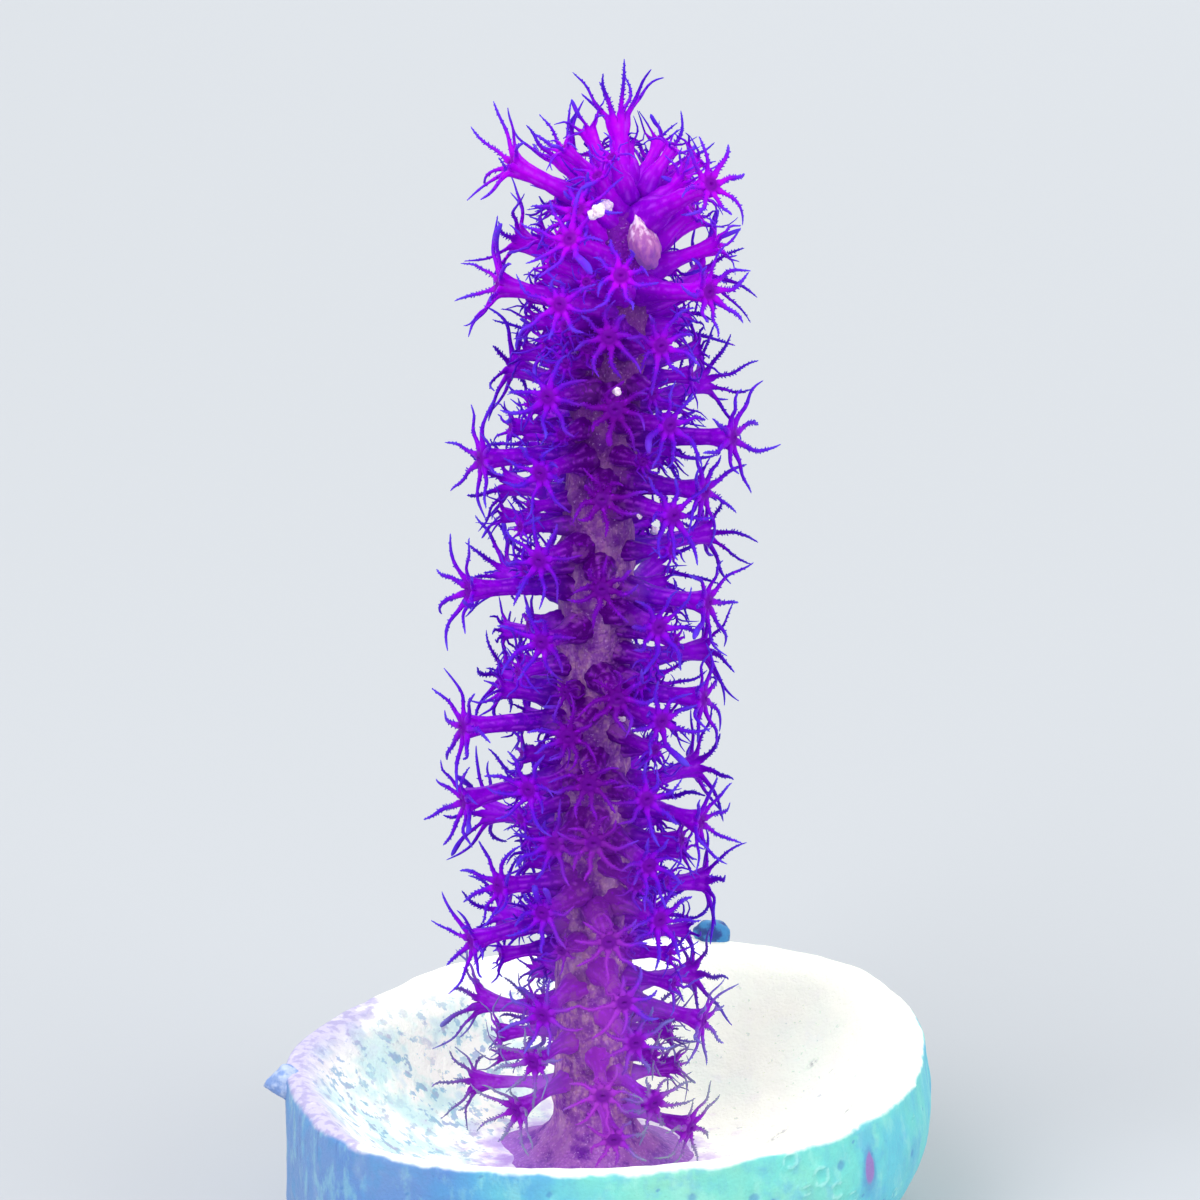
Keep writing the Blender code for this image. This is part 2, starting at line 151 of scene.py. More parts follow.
# Fine column: radii at distances from the stem's middle line, and back from the crown
COLUMN_AROUND = 24
COLUMN_RINGS = 16
CALYX_REACH = (0.9 * MM, 1.8 * MM, 2.6 * MM)
CALYX_RADII = (0.90 * MM, 0.78 * MM, 0.50 * MM)
NECK_BACK = (1.4 * MM, 0.55 * MM, 0.14 * MM)
NECK_RADII = (0.36 * MM, 0.40 * MM, 0.52 * MM)
COLUMN_CROWDING = 0.06
COLUMN_SAG = 0.12 * MM
COLUMN_ROUGHNESS = 0.04
FOLD_DEPTH = 0.08
WRINKLE_DEPTH = 0.035
WRINKLE_PITCH = 0.44 * MM
LOBE_DEPTH = 0.07
LOBE_POWER = 6
# Strength of the pale painted highlights along a column's grooves
GROOVE_HIGHLIGHTS = (0.35, 1.0)

# Mouth disc: radii and heights of its rings above the crown
DISC_RADIUS = 0.33 * MM
DISC_RISE = 0.12 * MM
MOUTH_RINGS = ((0.26 * MM, 0.26 * MM, 0.15 * MM), (0.15 * MM, 0.13 * MM, 0.21 * MM),
               (0.10 * MM, 0.04 * MM, 0.13 * MM))
MOUTH_DEPTH = 0.02 * MM

# Tone, which picks the tissue's colour, from the foot of a column to the tip of a tentacle
COLUMN_TONE = 0.42
MOUTH_TONE = 0.45
TENTACLE_TONES = (0.45, 1.0)
PINNULE_TONES = (0.60, 1.0)
PINNULE_TONE_STEP = 0.03
DISC_SHADE = 0.75
# Heights where polyps turn pale towards the foot and bright towards the tip
PALE_BELOW = 14.5 * MM
HIGH_ABOVE = 43 * MM
FADE = 5 * MM
# Random darkening of a polyp's tentacles, at most; those on the far side also get painted shade
DEEP_SPREAD = 0.3

# Fine tentacle: radius along its length, and how far it strays from the solid's plain bend
ROOT_ANGLES = (202.5, 247.5, 292.5, 337.5, 22.5, 67.5, 112.5, 157.5)
TENTACLE_SHARES = (0.13, 0.19, 0.27, 0.36, 0.45, 0.54, 0.63, 0.72, 0.80, 0.88, 0.95, 1.0)
RADIUS_SHARES = (0.0, 0.13, 0.22, 0.5, 0.75, 0.92, 1.0)
SLIM_RADII = (0.20, 0.155, 0.115, 0.090, 0.074, 0.050, 0.020)
CLUB_RADII = (0.20, 0.16, 0.12, 0.12, 0.16, 0.17, 0.08)
CLUB_CHANCE = (0.02, 0.09)
PALE_SLIMMING = 0.75
PALE_WAIST = 0.38
RADIUS_SPREAD = (0.80, 1.15)
RADIUS_ROUGHNESS = 0.08
LENGTHENING = (1.08, 0.64)
WAVE_HEIGHT = (0.02 * MM, 0.09 * MM)
WAVE_TURNS = (0.8, 1.7)
HOOK_START = 0.42
HOOK_REACH = (0.1 * MM, 0.8 * MM)
WEB_FLARE = 0.22
WEB_SHARE = 0.1
TENTACLE_FLATNESS = 0.86

# Pinnules: short side branches in a row along each side of a tentacle
PINNULES = 12
PINNULE_SHARES = (0.20, 0.95)
PINNULE_LENGTH = (0.07 * MM, 0.15 * MM)
PINNULE_RADIUS = 0.040 * MM
PINNULE_LEAN = 0.75
PINNULE_LEAN_SPREAD = (0.5, 1.4)
PINNULE_RISE = (-0.3, 0.5)
PINNULE_DRIFT = 0.03
PINNULE_FULLNESS = (0.25, 0.95)
PINNULE_SHOULDER = (0.7, 0.85)
PINNULE_SIDES = 3

# Young polyps: short and slim, in the gaps between the others' roots
YOUNG_SEED = 4
YOUNG_TRIES = 4000
YOUNG_COUNT = 160
YOUNG_SPACING = (1.05 * MM, 0.75 * MM)
YOUNG_HEIGHTS = (7.5 * MM, 49.9 * MM)
YOUNG_LIFT = (-6, 10)
BARE_TURN = 24
BUD_CLEARING = 48
SPARSE_BELOW = 15 * MM
SPARSE_CHANCE = 0.2
CROWDED_CHANCE = 0.3
YOUNG_REACH = (2.7 * MM, 4.6 * MM)
YOUNG_LENGTH = (1.1 * MM, 1.9 * MM)
YOUNG_SIZE = (0.62, 0.82)
YOUNG_COLUMN_RINGS = 10
YOUNG_PINNULES = 3
TIP_START = 44 * MM
TIP_LIFT = 56
BUD_GAP_ABOVE = TIP_START - 1.5 * MM

# How far the bud stands off the stem, and how far it leans to -X as it rises
BUD_STAND = 0.4 * MM
BUD_TILT = 0.25
BUD_TAPER = (0.62, 1.1)

# Lumps: plain swelling, then the height and the pitch of large and of small bumps
EDGE_SWELLING = (0.92, 0.16, 1.6, 0.06, 5)
BUD_SWELLING = (1, 0.16, 2.3, 0.08, 7)
GRAIN_SWELLING = (1, 0.35, 1.3, 0.08, 4.5)
GRAIN_STAND = 0.3
GRAIN_SHIFTS = (3.1, 2.3)
NOISE_SHIFT = Vector((3.7, 1.3, 7.1))

# Half width of the dark band of polyps in front of the stem
BAND_HALF_WIDTH = 1.9 * MM

# Fine rind
RING_CROWDING = 1.35
SKIRT_REACH = 0.6 * MM
SKIRT_HEIGHT = 0.35 * MM
RIND_AROUND = 104
RIND_RINGS = 330
FOOT_DEPTH = 0.12 * MM
FOOT_SPREAD = 1.6
FOOT_LOBES = 0.08
# Waves round the foot: size, count and shift
FOOT_WAVES = ((1.0, 3, 0.6), (0.7, 7, 2.0))
FOOT_WAVES_REACH = 1.3 * FOOT_FLARE
RIND_TIP_RINGS = 26
TIP_POLE = STEM_TOP + 0.05 * MM
CALYX_HEIGHT = 0.30 * MM
CALYX_SPREAD = 0.62 * MM
SHUT_POLYPS = 46
SHUT_SEED = 21
SHUT_MARGIN = 3 * MM
SHUT_TURN = 137.5
SHUT_DRIFT = 12
SHUT_HEIGHT = 0.26 * MM
SHUT_SPREAD = 0.34 * MM
RIND_SEED = 4
RIND_ROUGHNESS = ((2.4 * MM, 0.075 * MM), (0.75 * MM, 0.050 * MM), (0.26 * MM, 0.030 * MM))

# Fine plug
SPUR_SIZE = (1.05 * MM, 0.85 * MM, 0.9 * MM)
LIP_SOFTENING = 80
SOFT_SHARE = 0.6
PLUG_AROUND = 400
FLOOR_RINGS = 12
BOWL_RINGS = 58
LIP_RINGS = 14
CORNER_RINGS = 4
SIDE_RINGS = 56
SIDE_SMOOTHING = 16
UNDERSIDE_SHARES = (0.97, 0.9, 0.6, 0.3)
PLUG_ROUGHNESS = ((5.0 * MM, 0.16 * MM), (1.3 * MM, 0.05 * MM), (0.4 * MM, 0.022 * MM))


def srgb(code):
    """A linear colour from its six-digit sRGB code."""
    parts = [int(code[i:i + 2], 16) / 255 for i in (0, 2, 4)]
    linear = [part / 12.92 if part <= 0.04045 else ((part + 0.055) / 1.055) ** 2.4 for part in parts]
    return (*linear, 1.0)


def mix(pair, share):
    """The value that lies this share of the way along a pair."""
    return pair[0] + (pair[1] - pair[0]) * share


def clipped(value):
    """A value, or 0 below that and 1 above that."""
    return min(1.0, max(0.0, value))


def unit(rows):
    """Vectors at length 1."""
    return rows / np.linalg.norm(rows, axis=-1, keepdims=True)


def wheel_of(angles, across, up):
    """The directions at each angle round an axis."""
    return np.cos(angles)[:, None] * across + np.sin(angles)[:, None] * up


def facing(azimuth, towards):
    """1 where an azimuth faces a direction, falling smoothly to 0 opposite it."""
    return 0.5 + 0.5 * math.cos(math.radians(azimuth - towards))


def on_ring(azimuth, radius, height):
    """A point at an azimuth in degrees, a distance from the Z axis and a height."""
    angle = math.radians(azimuth)
    return Vector((radius * math.cos(angle), radius * math.sin(angle), height))


def rim_radius(azimuth):
    """Outer radius of the plug's rim: a smooth closed curve through RIM_RADII."""
    place = azimuth / 360 * len(RIM_RADII)
    first = math.floor(place)
    part = place - first
    before, start, end, after = (RIM_RADII[(first + i) % len(RIM_RADII)] for i in (-1, 0, 1, 2))
    bend = 2 * start - 2 * end + (end - before) / 2 + (after - start) / 2
    curve = -3 * start + 3 * end - (end - before) - (after - start) / 2
    return (start + (end - before) / 2 * part + curve * part ** 2 + bend * part ** 3) * MM


def bowl_size(azimuth):
    """Radius of the dish's inner edge, and the depth of the dish below it."""
    inner = rim_radius(azimuth) - mix(LIP_WIDTH, 1 - facing(azimuth, LIP_NARROW_AZIMUTH))
    return inner, RIM_HEIGHT - LIP_ROUNDING - FLOOR_HEIGHT


def stem_centre(height):
    """The stem's middle line: upright below, leaning a little to +X above LEAN_START."""
    rise = max(0.0, height - LEAN_START) / (STEM_TOP - LEAN_START)
    sway = STEM_SWAY * math.sin(TAU * height / SWAY_PITCH)
    return Vector((STEM_SHIFT + STEM_LEAN * rise ** 2, sway, height))


def stem_radius(height):
    """Radius of the stem: flared at the foot, slim above and rounded at the tip."""
    low = FLOOR_HEIGHT + FOOT_GAP
    share = (height - low) / (STEM_TOP - low)
    flare = max(0.0, 1 - (height - low) / FOOT_FLARE) ** 2
    slim = mix(STEM_RADIUS, share)
    radius = slim + (FOOT_RADIUS - slim) * flare
    left = (STEM_TOP - height) / STEM_ROUNDING
    return radius * math.sqrt(1 - (1 - left) ** 2) if left < 1 else radius


def polyp_layout():
    """Each polyp's height, azimuth, reach and lift, with the range its crown opens by."""
    sides = LEFT + LEFT_FRONT + FRONT + RIGHT_FRONT + RIGHT + RIGHT_BACK + LEFT_BACK
    chosen = [(polyp, OPENING) for polyp in sides] + [(polyp, TOP_OPENING) for polyp in TOP]
    layout = [((height * MM, azimuth, reach * MM, lift), opening)
              for (height, azimuth, reach, lift), opening in chosen]
    for file, azimuth in enumerate(BACK_AZIMUTHS):
        for row in range(BACK_ROWS):
            height = BACK_LOWEST + (row + file % 2 / 2) * BACK_STEP
            layout.append(((height, azimuth, BACK_REACH, BACK_LIFT), OPENING))
    return layout


def polyp_frame(height, azimuth, reach, lift):
    """The crown's centre, the way its column points, and the two directions across that."""
    out = on_ring(azimuth, 1.0, 0.0)
    crown = stem_centre(height) + reach * out
    axis = math.cos(math.radians(lift)) * out + math.sin(math.radians(lift)) * Vector((0, 0, 1))
    across = Vector((-out.y, out.x, 0))
    return [np.array(part) for part in (crown, axis, across, axis.cross(across))]


def tentacle_path(crown, axis, spoke, side, opening, shape, shares):
    """Points along a tentacle that leaves the crown and bends evenly from opening by its curl."""
    length, curl, sway = shape
    bend = curl if abs(curl) > LEAST_BEND else LEAST_BEND
    forward = (np.sin(opening + bend * shares) - math.sin(opening)) / bend
    outward = (math.cos(opening) - np.cos(opening + bend * shares)) / bend
    return (crown + spoke * TENTACLE_START
            + length * (forward[:, None] * axis + outward[:, None] * spoke)
            + (sway * length * shares ** 2)[:, None] * side)


def dish_height(point):
    """Height of the plug's surface below a point."""
    radius = math.hypot(point[0], point[1])
    azimuth = math.degrees(math.atan2(point[1], point[0])) % 360
    inner, depth = bowl_size(azimuth)
    share = clipped((radius - FLOOR_RADIUS) / (inner - FLOOR_RADIUS))
    return FLOOR_HEIGHT + depth * share ** BOWL_POWER


def room_around(path, placed):
    """How far a tentacle's path stays from what it must miss, below 0 where it leaves its space."""
    outer = path[PATH_STEPS // 2:]
    if any(point[2] - dish_height(point) < DISH_CLEARANCE for point in outer):
        return -1.0
    reaches = [np.linalg.norm(point - np.array(stem_centre(point[2]))) for point in outer]
    if max(reaches) > WIDEST_REACH or min(reaches) < STEM_RADIUS[0] + CLEARANCE:
        return -1.0
    if not len(placed):
        return 1.0
    gaps = outer[:, None, :] - placed[None, :, :]
    return math.sqrt((gaps ** 2).sum(axis=2).min())


def choose_tentacle(rng, crown, axis, spoke, opening, placed):
    """Length, curl and sway of the first try with room around it, or of the roomiest."""
    roomiest, choice = -2.0, None
    side = np.cross(axis, spoke)
    shares = np.arange(1, PATH_STEPS + 1) / PATH_STEPS
    for attempt in range(TRIES):
        length = rng.uniform(*TENTACLE_LENGTH) * SHORTER ** attempt
        curl = math.radians(rng.uniform(*CURL))
        shape = (length, curl, rng.uniform(-SWAY, SWAY))
        path = tentacle_path(crown, axis, spoke, side, opening, shape, shares)
        room = room_around(path, placed)
        if room > roomiest:
            roomiest, choice = room, (shape, path)
        if room > CLEARANCE:
            break
    return choice


def spoke_of(across, up, angle):
    """The direction at an angle round a crown."""
    return math.cos(angle) * across + math.sin(angle) * up


def plan_polyps():
    """Every polyp with its spin, opening and eight tentacles, as the solids have them."""
    rng = random.Random(SEED)
    plans = [(polyp, rng.uniform(0, TAU / TENTACLES), math.radians(rng.uniform(*opening)))
             for polyp, opening in polyp_layout()]
    columns = []
    for polyp, _, _ in plans:
        crown, axis, *_ = polyp_frame(*polyp)
        length = polyp[2] - STEM_RADIUS[0]
        columns += [crown - axis * length * step / COLUMN_STEPS for step in range(COLUMN_STEPS)]
    owners = np.repeat(np.arange(len(plans)), COLUMN_STEPS)
    placed = np.array(columns)
    polyps = []
    for number, (polyp, spin, opening) in enumerate(plans):
        crown, axis, across, up = polyp_frame(*polyp)
        near = ((placed - crown) ** 2).sum(axis=1) < NEARBY ** 2
        others = placed[near & (owners != number)]
        shapes = []
        for i in range(TENTACLES):
            spoke = spoke_of(across, up, spin + TAU * i / TENTACLES)
            shape, path = choose_tentacle(rng, crown, axis, spoke, opening, others)
            shapes.append(shape)
            placed = np.vstack((placed, path))
            owners = np.append(owners, np.full(len(path), number))
        polyps.append((polyp, spin, opening, shapes))
    return polyps


def link(data):
    """An object in the scene, with its data's name."""
    thing = bpy.data.objects.new(data.name, data)
    bpy.context.scene.collection.objects.link(thing)
    return thing


def link_bmesh(name, bm):
    """A smooth-shaded object in the scene from a bmesh, which it frees."""
    mesh = bpy.data.meshes.new(name)
    bm.to_mesh(mesh)
    bm.free()
    mesh.shade_smooth()
    return link(mesh)


def add_lump(bm, swelling, shift, place):
    """Add a ball to a bmesh: its points swell by noise, and go where place puts them."""
    plain, large, large_pitch, small, small_pitch = swelling
    for vert in bmesh.ops.create_icosphere(bm, subdivisions=4, radius=1.0)["verts"]:
        swell = plain + large * noise.noise(vert.co * large_pitch + Vector((shift[0], 0, 0)))
        swell += small * noise.noise(vert.co * small_pitch + Vector((0, shift[1], 0)))
        vert.co = place(vert.co, swell)


class Skin:
    """Points, faces and per-point values of a piece while it is made."""

    def __init__(self, *names):
        self.names = names
        self.points = []
        self.faces = []
        self.values = {name: [] for name in names}
        self.count = 0

    def add(self, points, **values):
        """Take in points with their values, and return their numbers."""
        points = np.asarray(points, float).reshape(-1, 3)
        self.points.append(points)
        for name in self.names:
            self.values[name].append(np.broadcast_to(values.get(name, 0.0), len(points)).astype(float))
        self.count += len(points)
        return np.arange(self.count - len(points), self.count)

    def bridge(self, lower, upper):
        """Quads between two closed rings of points, which turn the same way."""
        self.faces += zip(lower.tolist(), np.roll(lower, -1).tolist(),
                          np.roll(upper, -1).tolist(), upper.tolist())

    def close(self, ring, pole):
        """A fan from a closed ring of points to one point."""
        self.faces += [(a, b, pole) for a, b in zip(ring.tolist(), np.roll(ring, -1).tolist())]

    def sleeve(self, rings):
        """Quads between each ring of points and the next."""
        for lower, upper in zip(rings, rings[1:]):
            self.bridge(lower, upper)

    def make(self, name):
        """The finished piece, smooth-shaded, with its values as attributes."""
        mesh = bpy.data.meshes.new(name)
        mesh.from_pydata(np.vstack(self.points).tolist(), [], self.faces)
        for key, parts in self.values.items():
            layer = mesh.attributes.new(key, 'FLOAT', 'POINT')
            layer.data.foreach_set("value", np.concatenate(parts).astype(np.float32))
        mesh.shade_smooth()
        mesh.update()
        return link(mesh)


def rough(points, layers, seed=0):
    """Smooth noise at each point, summed over layers of (size, height) of its bumps."""
    total = np.zeros(len(points))
    for number, (size, height) in enumerate(layers, seed):
        shift = number * NOISE_SHIFT
        total += [height * noise.noise(Vector(point) / size + shift) for point in points]
    return total


def normals_of(grid):
    """Outward normals of a grid of points: rings along the first axis, closed round the second."""
    along = np.gradient(grid, axis=0)
    around = np.roll(grid, -1, axis=1) - np.roll(grid, 1, axis=1)
    across = np.cross(around, along)
    return across / np.maximum(np.linalg.norm(across, axis=2, keepdims=True), 1e-12)


# The plug

def plug_profile(azimuth):
    """Rows of radius, height, and how far the row belongs to the lip and to the side."""
    rim = rim_radius(azimuth)
    inner, depth = bowl_size(azimuth)
    rows = [(FLOOR_RADIUS * share, FLOOR_HEIGHT, 0, 0)
            for share in np.linspace(1 / FLOOR_RINGS, 1, FLOOR_RINGS, endpoint=False)]
    rows += [(mix((FLOOR_RADIUS, inner), share), FLOOR_HEIGHT + depth * share ** BOWL_POWER, 0, 0)
             for share in np.linspace(0, 1, BOWL_RINGS)]
    turns = np.linspace(0, math.pi / 2, CORNER_RINGS + 1)[1:]
    rows += [(inner + LIP_ROUNDING * (1 - math.cos(turn)),
              RIM_HEIGHT - LIP_ROUNDING * (1 - math.sin(turn)), turn / turns[-1], 0) for turn in turns]
    flat = (inner + LIP_ROUNDING, rim - LIP_ROUNDING)
    rows += [(mix(flat, share), RIM_HEIGHT, 1, 0) for share in np.linspace(0, 1, LIP_RINGS)[1:]]
    rows = np.array(rows)
    first, last = FLOOR_RINGS + BOWL_RINGS // 2, len(rows) - round(LIP_RINGS * (1 - SOFT_SHARE))
    for _ in range(LIP_SOFTENING):
        part = rows[first:last]
        part[1:-1] = (part[:-2] + 2 * part[1:-1] + part[2:]) / 4
    rows = [tuple(row) for row in rows]
    rows += [(rim - LIP_ROUNDING * (1 - math.sin(turn)),
              RIM_HEIGHT - LIP_ROUNDING * (1 - math.cos(turn)), 1, turn / turns[-1]) for turn in turns]
    turned = facing(azimuth, CHAMFER_AZIMUTH)
    chamfer = mix(CHAMFER_HEIGHT, turned)
    bulge = SIDE_BULGE * turned
    corners = ((rim, RIM_HEIGHT - LIP_ROUNDING), (rim + bulge, mix((chamfer, RIM_HEIGHT), BULGE_PLACE)),
               (rim + bulge / 2, chamfer), (rim - mix(CHAMFER_INSET, turned), 0.0))
    places = np.linspace(0, 3, SIDE_RINGS)
    side = np.array([np.interp(places, range(4), column) for column in zip(*corners)])
    for _ in range(SIDE_SMOOTHING):
        side[:, 1:-1] = (side[:, :-2] + 2 * side[:, 1:-1] + side[:, 2:]) / 4
    rows += [(radius, height, 0, 1) for radius, height in side.T[1:]]
    rows += [(side[0, -1] * share, 0.0, 0, 1) for share in UNDERSIDE_SHARES]
    return rows


def camera_place():
    """The camera's place, and its right, up and back directions."""
    back = Vector((0, -math.cos(VIEW_ELEVATION), math.sin(VIEW_ELEVATION)))
    right = Vector((1, 0, 0))
    return VIEW_TARGET + VIEW_DISTANCE * back, right, back.cross(right), back


def seen_at(tree, pixel):
    """The point and outward normal of a surface that shows at a pixel of the photograph."""
    place, right, up, back = camera_place()
    x, y = pixel
    ray = ((x - FRAME_SIDE / 2) * right - (y - FRAME_SIDE / 2) * up) / FOCAL_PIXELS - back
    point, normal, *_ = tree.ray_cast(place, ray)
    if point is None:
        point, normal, *_ = tree.find_nearest(place + ray * VIEW_DISTANCE)
    return point, (-normal if normal.dot(ray) > 0 else normal)


# Marks on the plug that the photograph shows: pixel and half sizes in millimetres
BUBBLES = (((791, 1160), 0.34), ((912, 1120), 0.16), ((912, 1084), 0.22), ((820, 1176), 0.42),
           ((836, 1190), 0.36), ((806, 1190), 0.22), ((852, 1196), 0.26), ((893, 1192), 0.24))
PITS = 150
PIT_SEED = 5
PITS_ABOVE = 0.6 * MM
PIT_RADIUS = (0.12 * MM, 0.38 * MM)
PIT_DEPTH = 0.35
BUBBLE_WALL = 0.30
BUBBLE_FLOOR = 0.7
BUBBLE_RELIEF = (0.10 * MM, 0.12 * MM)
SCRATCH_WIDTH = 0.17
SCRATCH_DEPTH = 0.05 * MM
FLAME_RELIEF = 0.06 * MM
PLAIN_BELOW = 0.8 * MM
SCRATCHES = (((811, 1062), 0.22, 0.9), ((847, 1108), 0.34, 0.9), ((777, 1135), 0.62, 0.6))
FLAME = (868, 1166)
FLAME_SIZE = (0.36 * MM, 0.95 * MM)
FLAME_TAPER = 0.4
FLAME_WIDTHS = (0.3, 1.3)
BLUE_SMUDGE = (912, 1160)
BLUE_SMUDGE_SIZE = 1.2 * MM
# The mottled left part of the dish, in millimetres: its edge, slant and fade
LEFT_EDGE = -4.5
LEFT_SLANT = 0.25
LEFT_FADE = 1.3
STAIN_RADIUS = 5.6


def blob(points, centre, radius):
    """1 at a centre, falling smoothly to nothing about this far from it."""
    return np.exp(-((points - np.array(centre)) ** 2).sum(axis=1) / radius ** 2)


def build_plug():
    """The cast dish, with its pits, bubbles and worm tubes, and masks for its colours."""
    azimuths = 360 * np.arange(PLUG_AROUND) / PLUG_AROUND
    profiles = np.array([plug_profile(azimuth) for azimuth in azimuths]).transpose(1, 0, 2)
    turns = np.radians(azimuths)[None, :]
    grid = np.stack((profiles[:, :, 0] * np.cos(turns), profiles[:, :, 0] * np.sin(turns),
                     profiles[:, :, 1]), axis=2)
    rings, around = grid.shape[:2]
    plain = grid.reshape(-1, 3)
    normals = -normals_of(grid).reshape(-1, 3)
    tree = BVHTree.FromPolygons(plain.tolist(), [
        (i * around + j, i * around + (j + 1) % around,
         (i + 1) * around + (j + 1) % around, (i + 1) * around + j)
        for i in range(rings - 1) for j in range(around)])
    height = rough(plain, PLUG_ROUGHNESS)
    side = profiles[:, :, 3].reshape(-1)
    pits, tubes, marks = np.zeros((3, len(plain)))
    rng = np.random.RandomState(PIT_SEED)
    on_side = np.flatnonzero((side == 1) & (plain[:, 2] > PITS_ABOVE))
    for index in rng.choice(on_side, PITS, replace=False):
        radius = mix(PIT_RADIUS, rng.random() ** 2)
        hollow = blob(plain, plain[index], radius)
        height -= PIT_DEPTH * radius * hollow
        pits = np.maximum(pits, hollow)

    def gaps_to(pixel):
        """Each point's way from the place on the surface that shows at a pixel."""
        return plain - np.array(seen_at(tree, pixel)[0])

    for pixel, size in BUBBLES:
        distance = np.linalg.norm(gaps_to(pixel), axis=1) / MM
        wall = np.exp(-((distance - size) / (BUBBLE_WALL * size)) ** 2)
        hollow = np.exp(-(distance / (BUBBLE_FLOOR * size)) ** 2)
        height += BUBBLE_RELIEF[0] * wall - BUBBLE_RELIEF[1] * hollow
        tubes = np.maximum(tubes, wall)
    gap = gaps_to(FLAME)
    taper = FLAME_SIZE[0] * np.clip(1 - FLAME_TAPER * gap[:, 2] / FLAME_SIZE[1], *FLAME_WIDTHS)
    sideways = np.linalg.norm(gap[:, :2], axis=1) / taper
    flame = np.exp(-sideways ** 2 - (gap[:, 2] / FLAME_SIZE[1]) ** 2)
    height += FLAME_RELIEF * flame
    for pixel, size, slope in SCRATCHES:
        turn = np.array(((math.cos(slope), -math.sin(slope)), (math.sin(slope), math.cos(slope))))
        turned = gaps_to(pixel)[:, :2] @ turn / MM
        scratch = np.exp(-(turned[:, 0] / size) ** 2 - (turned[:, 1] / SCRATCH_WIDTH) ** 2)
        marks = np.maximum(marks, scratch)
    height -= SCRATCH_DEPTH * marks
    height *= np.clip(plain[:, 2] / PLAIN_BELOW, 0, 1)
    shaped = plain + normals * height[:, None]
    across, depth, _ = plain.T / MM
    from_stem = np.hypot(across - STEM_SHIFT / MM, depth)
    values = {
        "side": side,
        "lip": profiles[:, :, 2].reshape(-1),
        "left": 1 / (1 + np.exp((across - LEFT_EDGE - LEFT_SLANT * depth) / LEFT_FADE)),
        "pit": pits,
        "tube": tubes,
        "plume": flame,
        "mark": marks,
        "stain": np.exp(-(from_stem / STAIN_RADIUS) ** 4),
        "blue": blob(plain, seen_at(tree, BLUE_SMUDGE)[0], BLUE_SMUDGE_SIZE),
    }
    skin = Skin(*values)
    numbers = skin.add(shaped, **values).reshape(rings, around)
    for lower, upper in zip(numbers, numbers[1:]):
        skin.bridge(upper, lower)
    middle = {name: value[0] for name, value in values.items()}
    floor = skin.add([shaped[:around].mean(axis=0)], **middle)[0]
    skin.close(numbers[0], floor)
    under = skin.add([(0, 0, 0)], side=1)[0]
    skin.close(numbers[-1][::-1], under)
    return skin.make("plug_cast")


def build_bump(name, azimuth, height, size, taper, seed):
    """A rough lump fused to the plug's edge: its first half size points out, to a taper."""
    bm = bmesh.new()
    centre = on_ring(azimuth, rim_radius(azimuth), height)
    out = on_ring(azimuth, 1.0, 0.0)
    along = Vector((-out.y, out.x, 0))

    def place(point, swell):
        slim = 1 - taper * max(0.0, point.x)
        x, y, z = (part * half * swell for part, half in zip(point, size))
        return centre + x * out + y * slim * along + Vector((0, 0, z * slim))

    add_lump(bm, EDGE_SWELLING, (seed, seed), place)
    return link_bmesh(name, bm)


# The stem's rind

def polyp_root(polyp):
    """Where a polyp's column starts inside the stem, and the way that it points."""
    _, _, reach, lift = polyp
    crown, axis, *_ = polyp_frame(*polyp)
    return crown - axis * (reach / math.cos(math.radians(lift)) - ROOT_OFFSET), axis


def leaves_stem(polyp):
    """Where a polyp's column leaves the stem."""
    root, axis = polyp_root(polyp)
    return root + axis * (STEM_RADIUS[0] - ROOT_OFFSET)


def shut_polyps():
    """Places on the stem of the closed polyps that show as small mounds."""
    rng = np.random.RandomState(SHUT_SEED)
    places = []
    for number in range(SHUT_POLYPS):
        height = mix((FLOOR_HEIGHT + SHUT_MARGIN, STEM_TOP - SHUT_MARGIN),
                     (number + rng.random()) / SHUT_POLYPS)
        azimuth = SHUT_TURN * number + rng.uniform(-SHUT_DRIFT, SHUT_DRIFT)
        places.append(stem_centre(height) + on_ring(azimuth, stem_radius(height), 0.0))
    return places


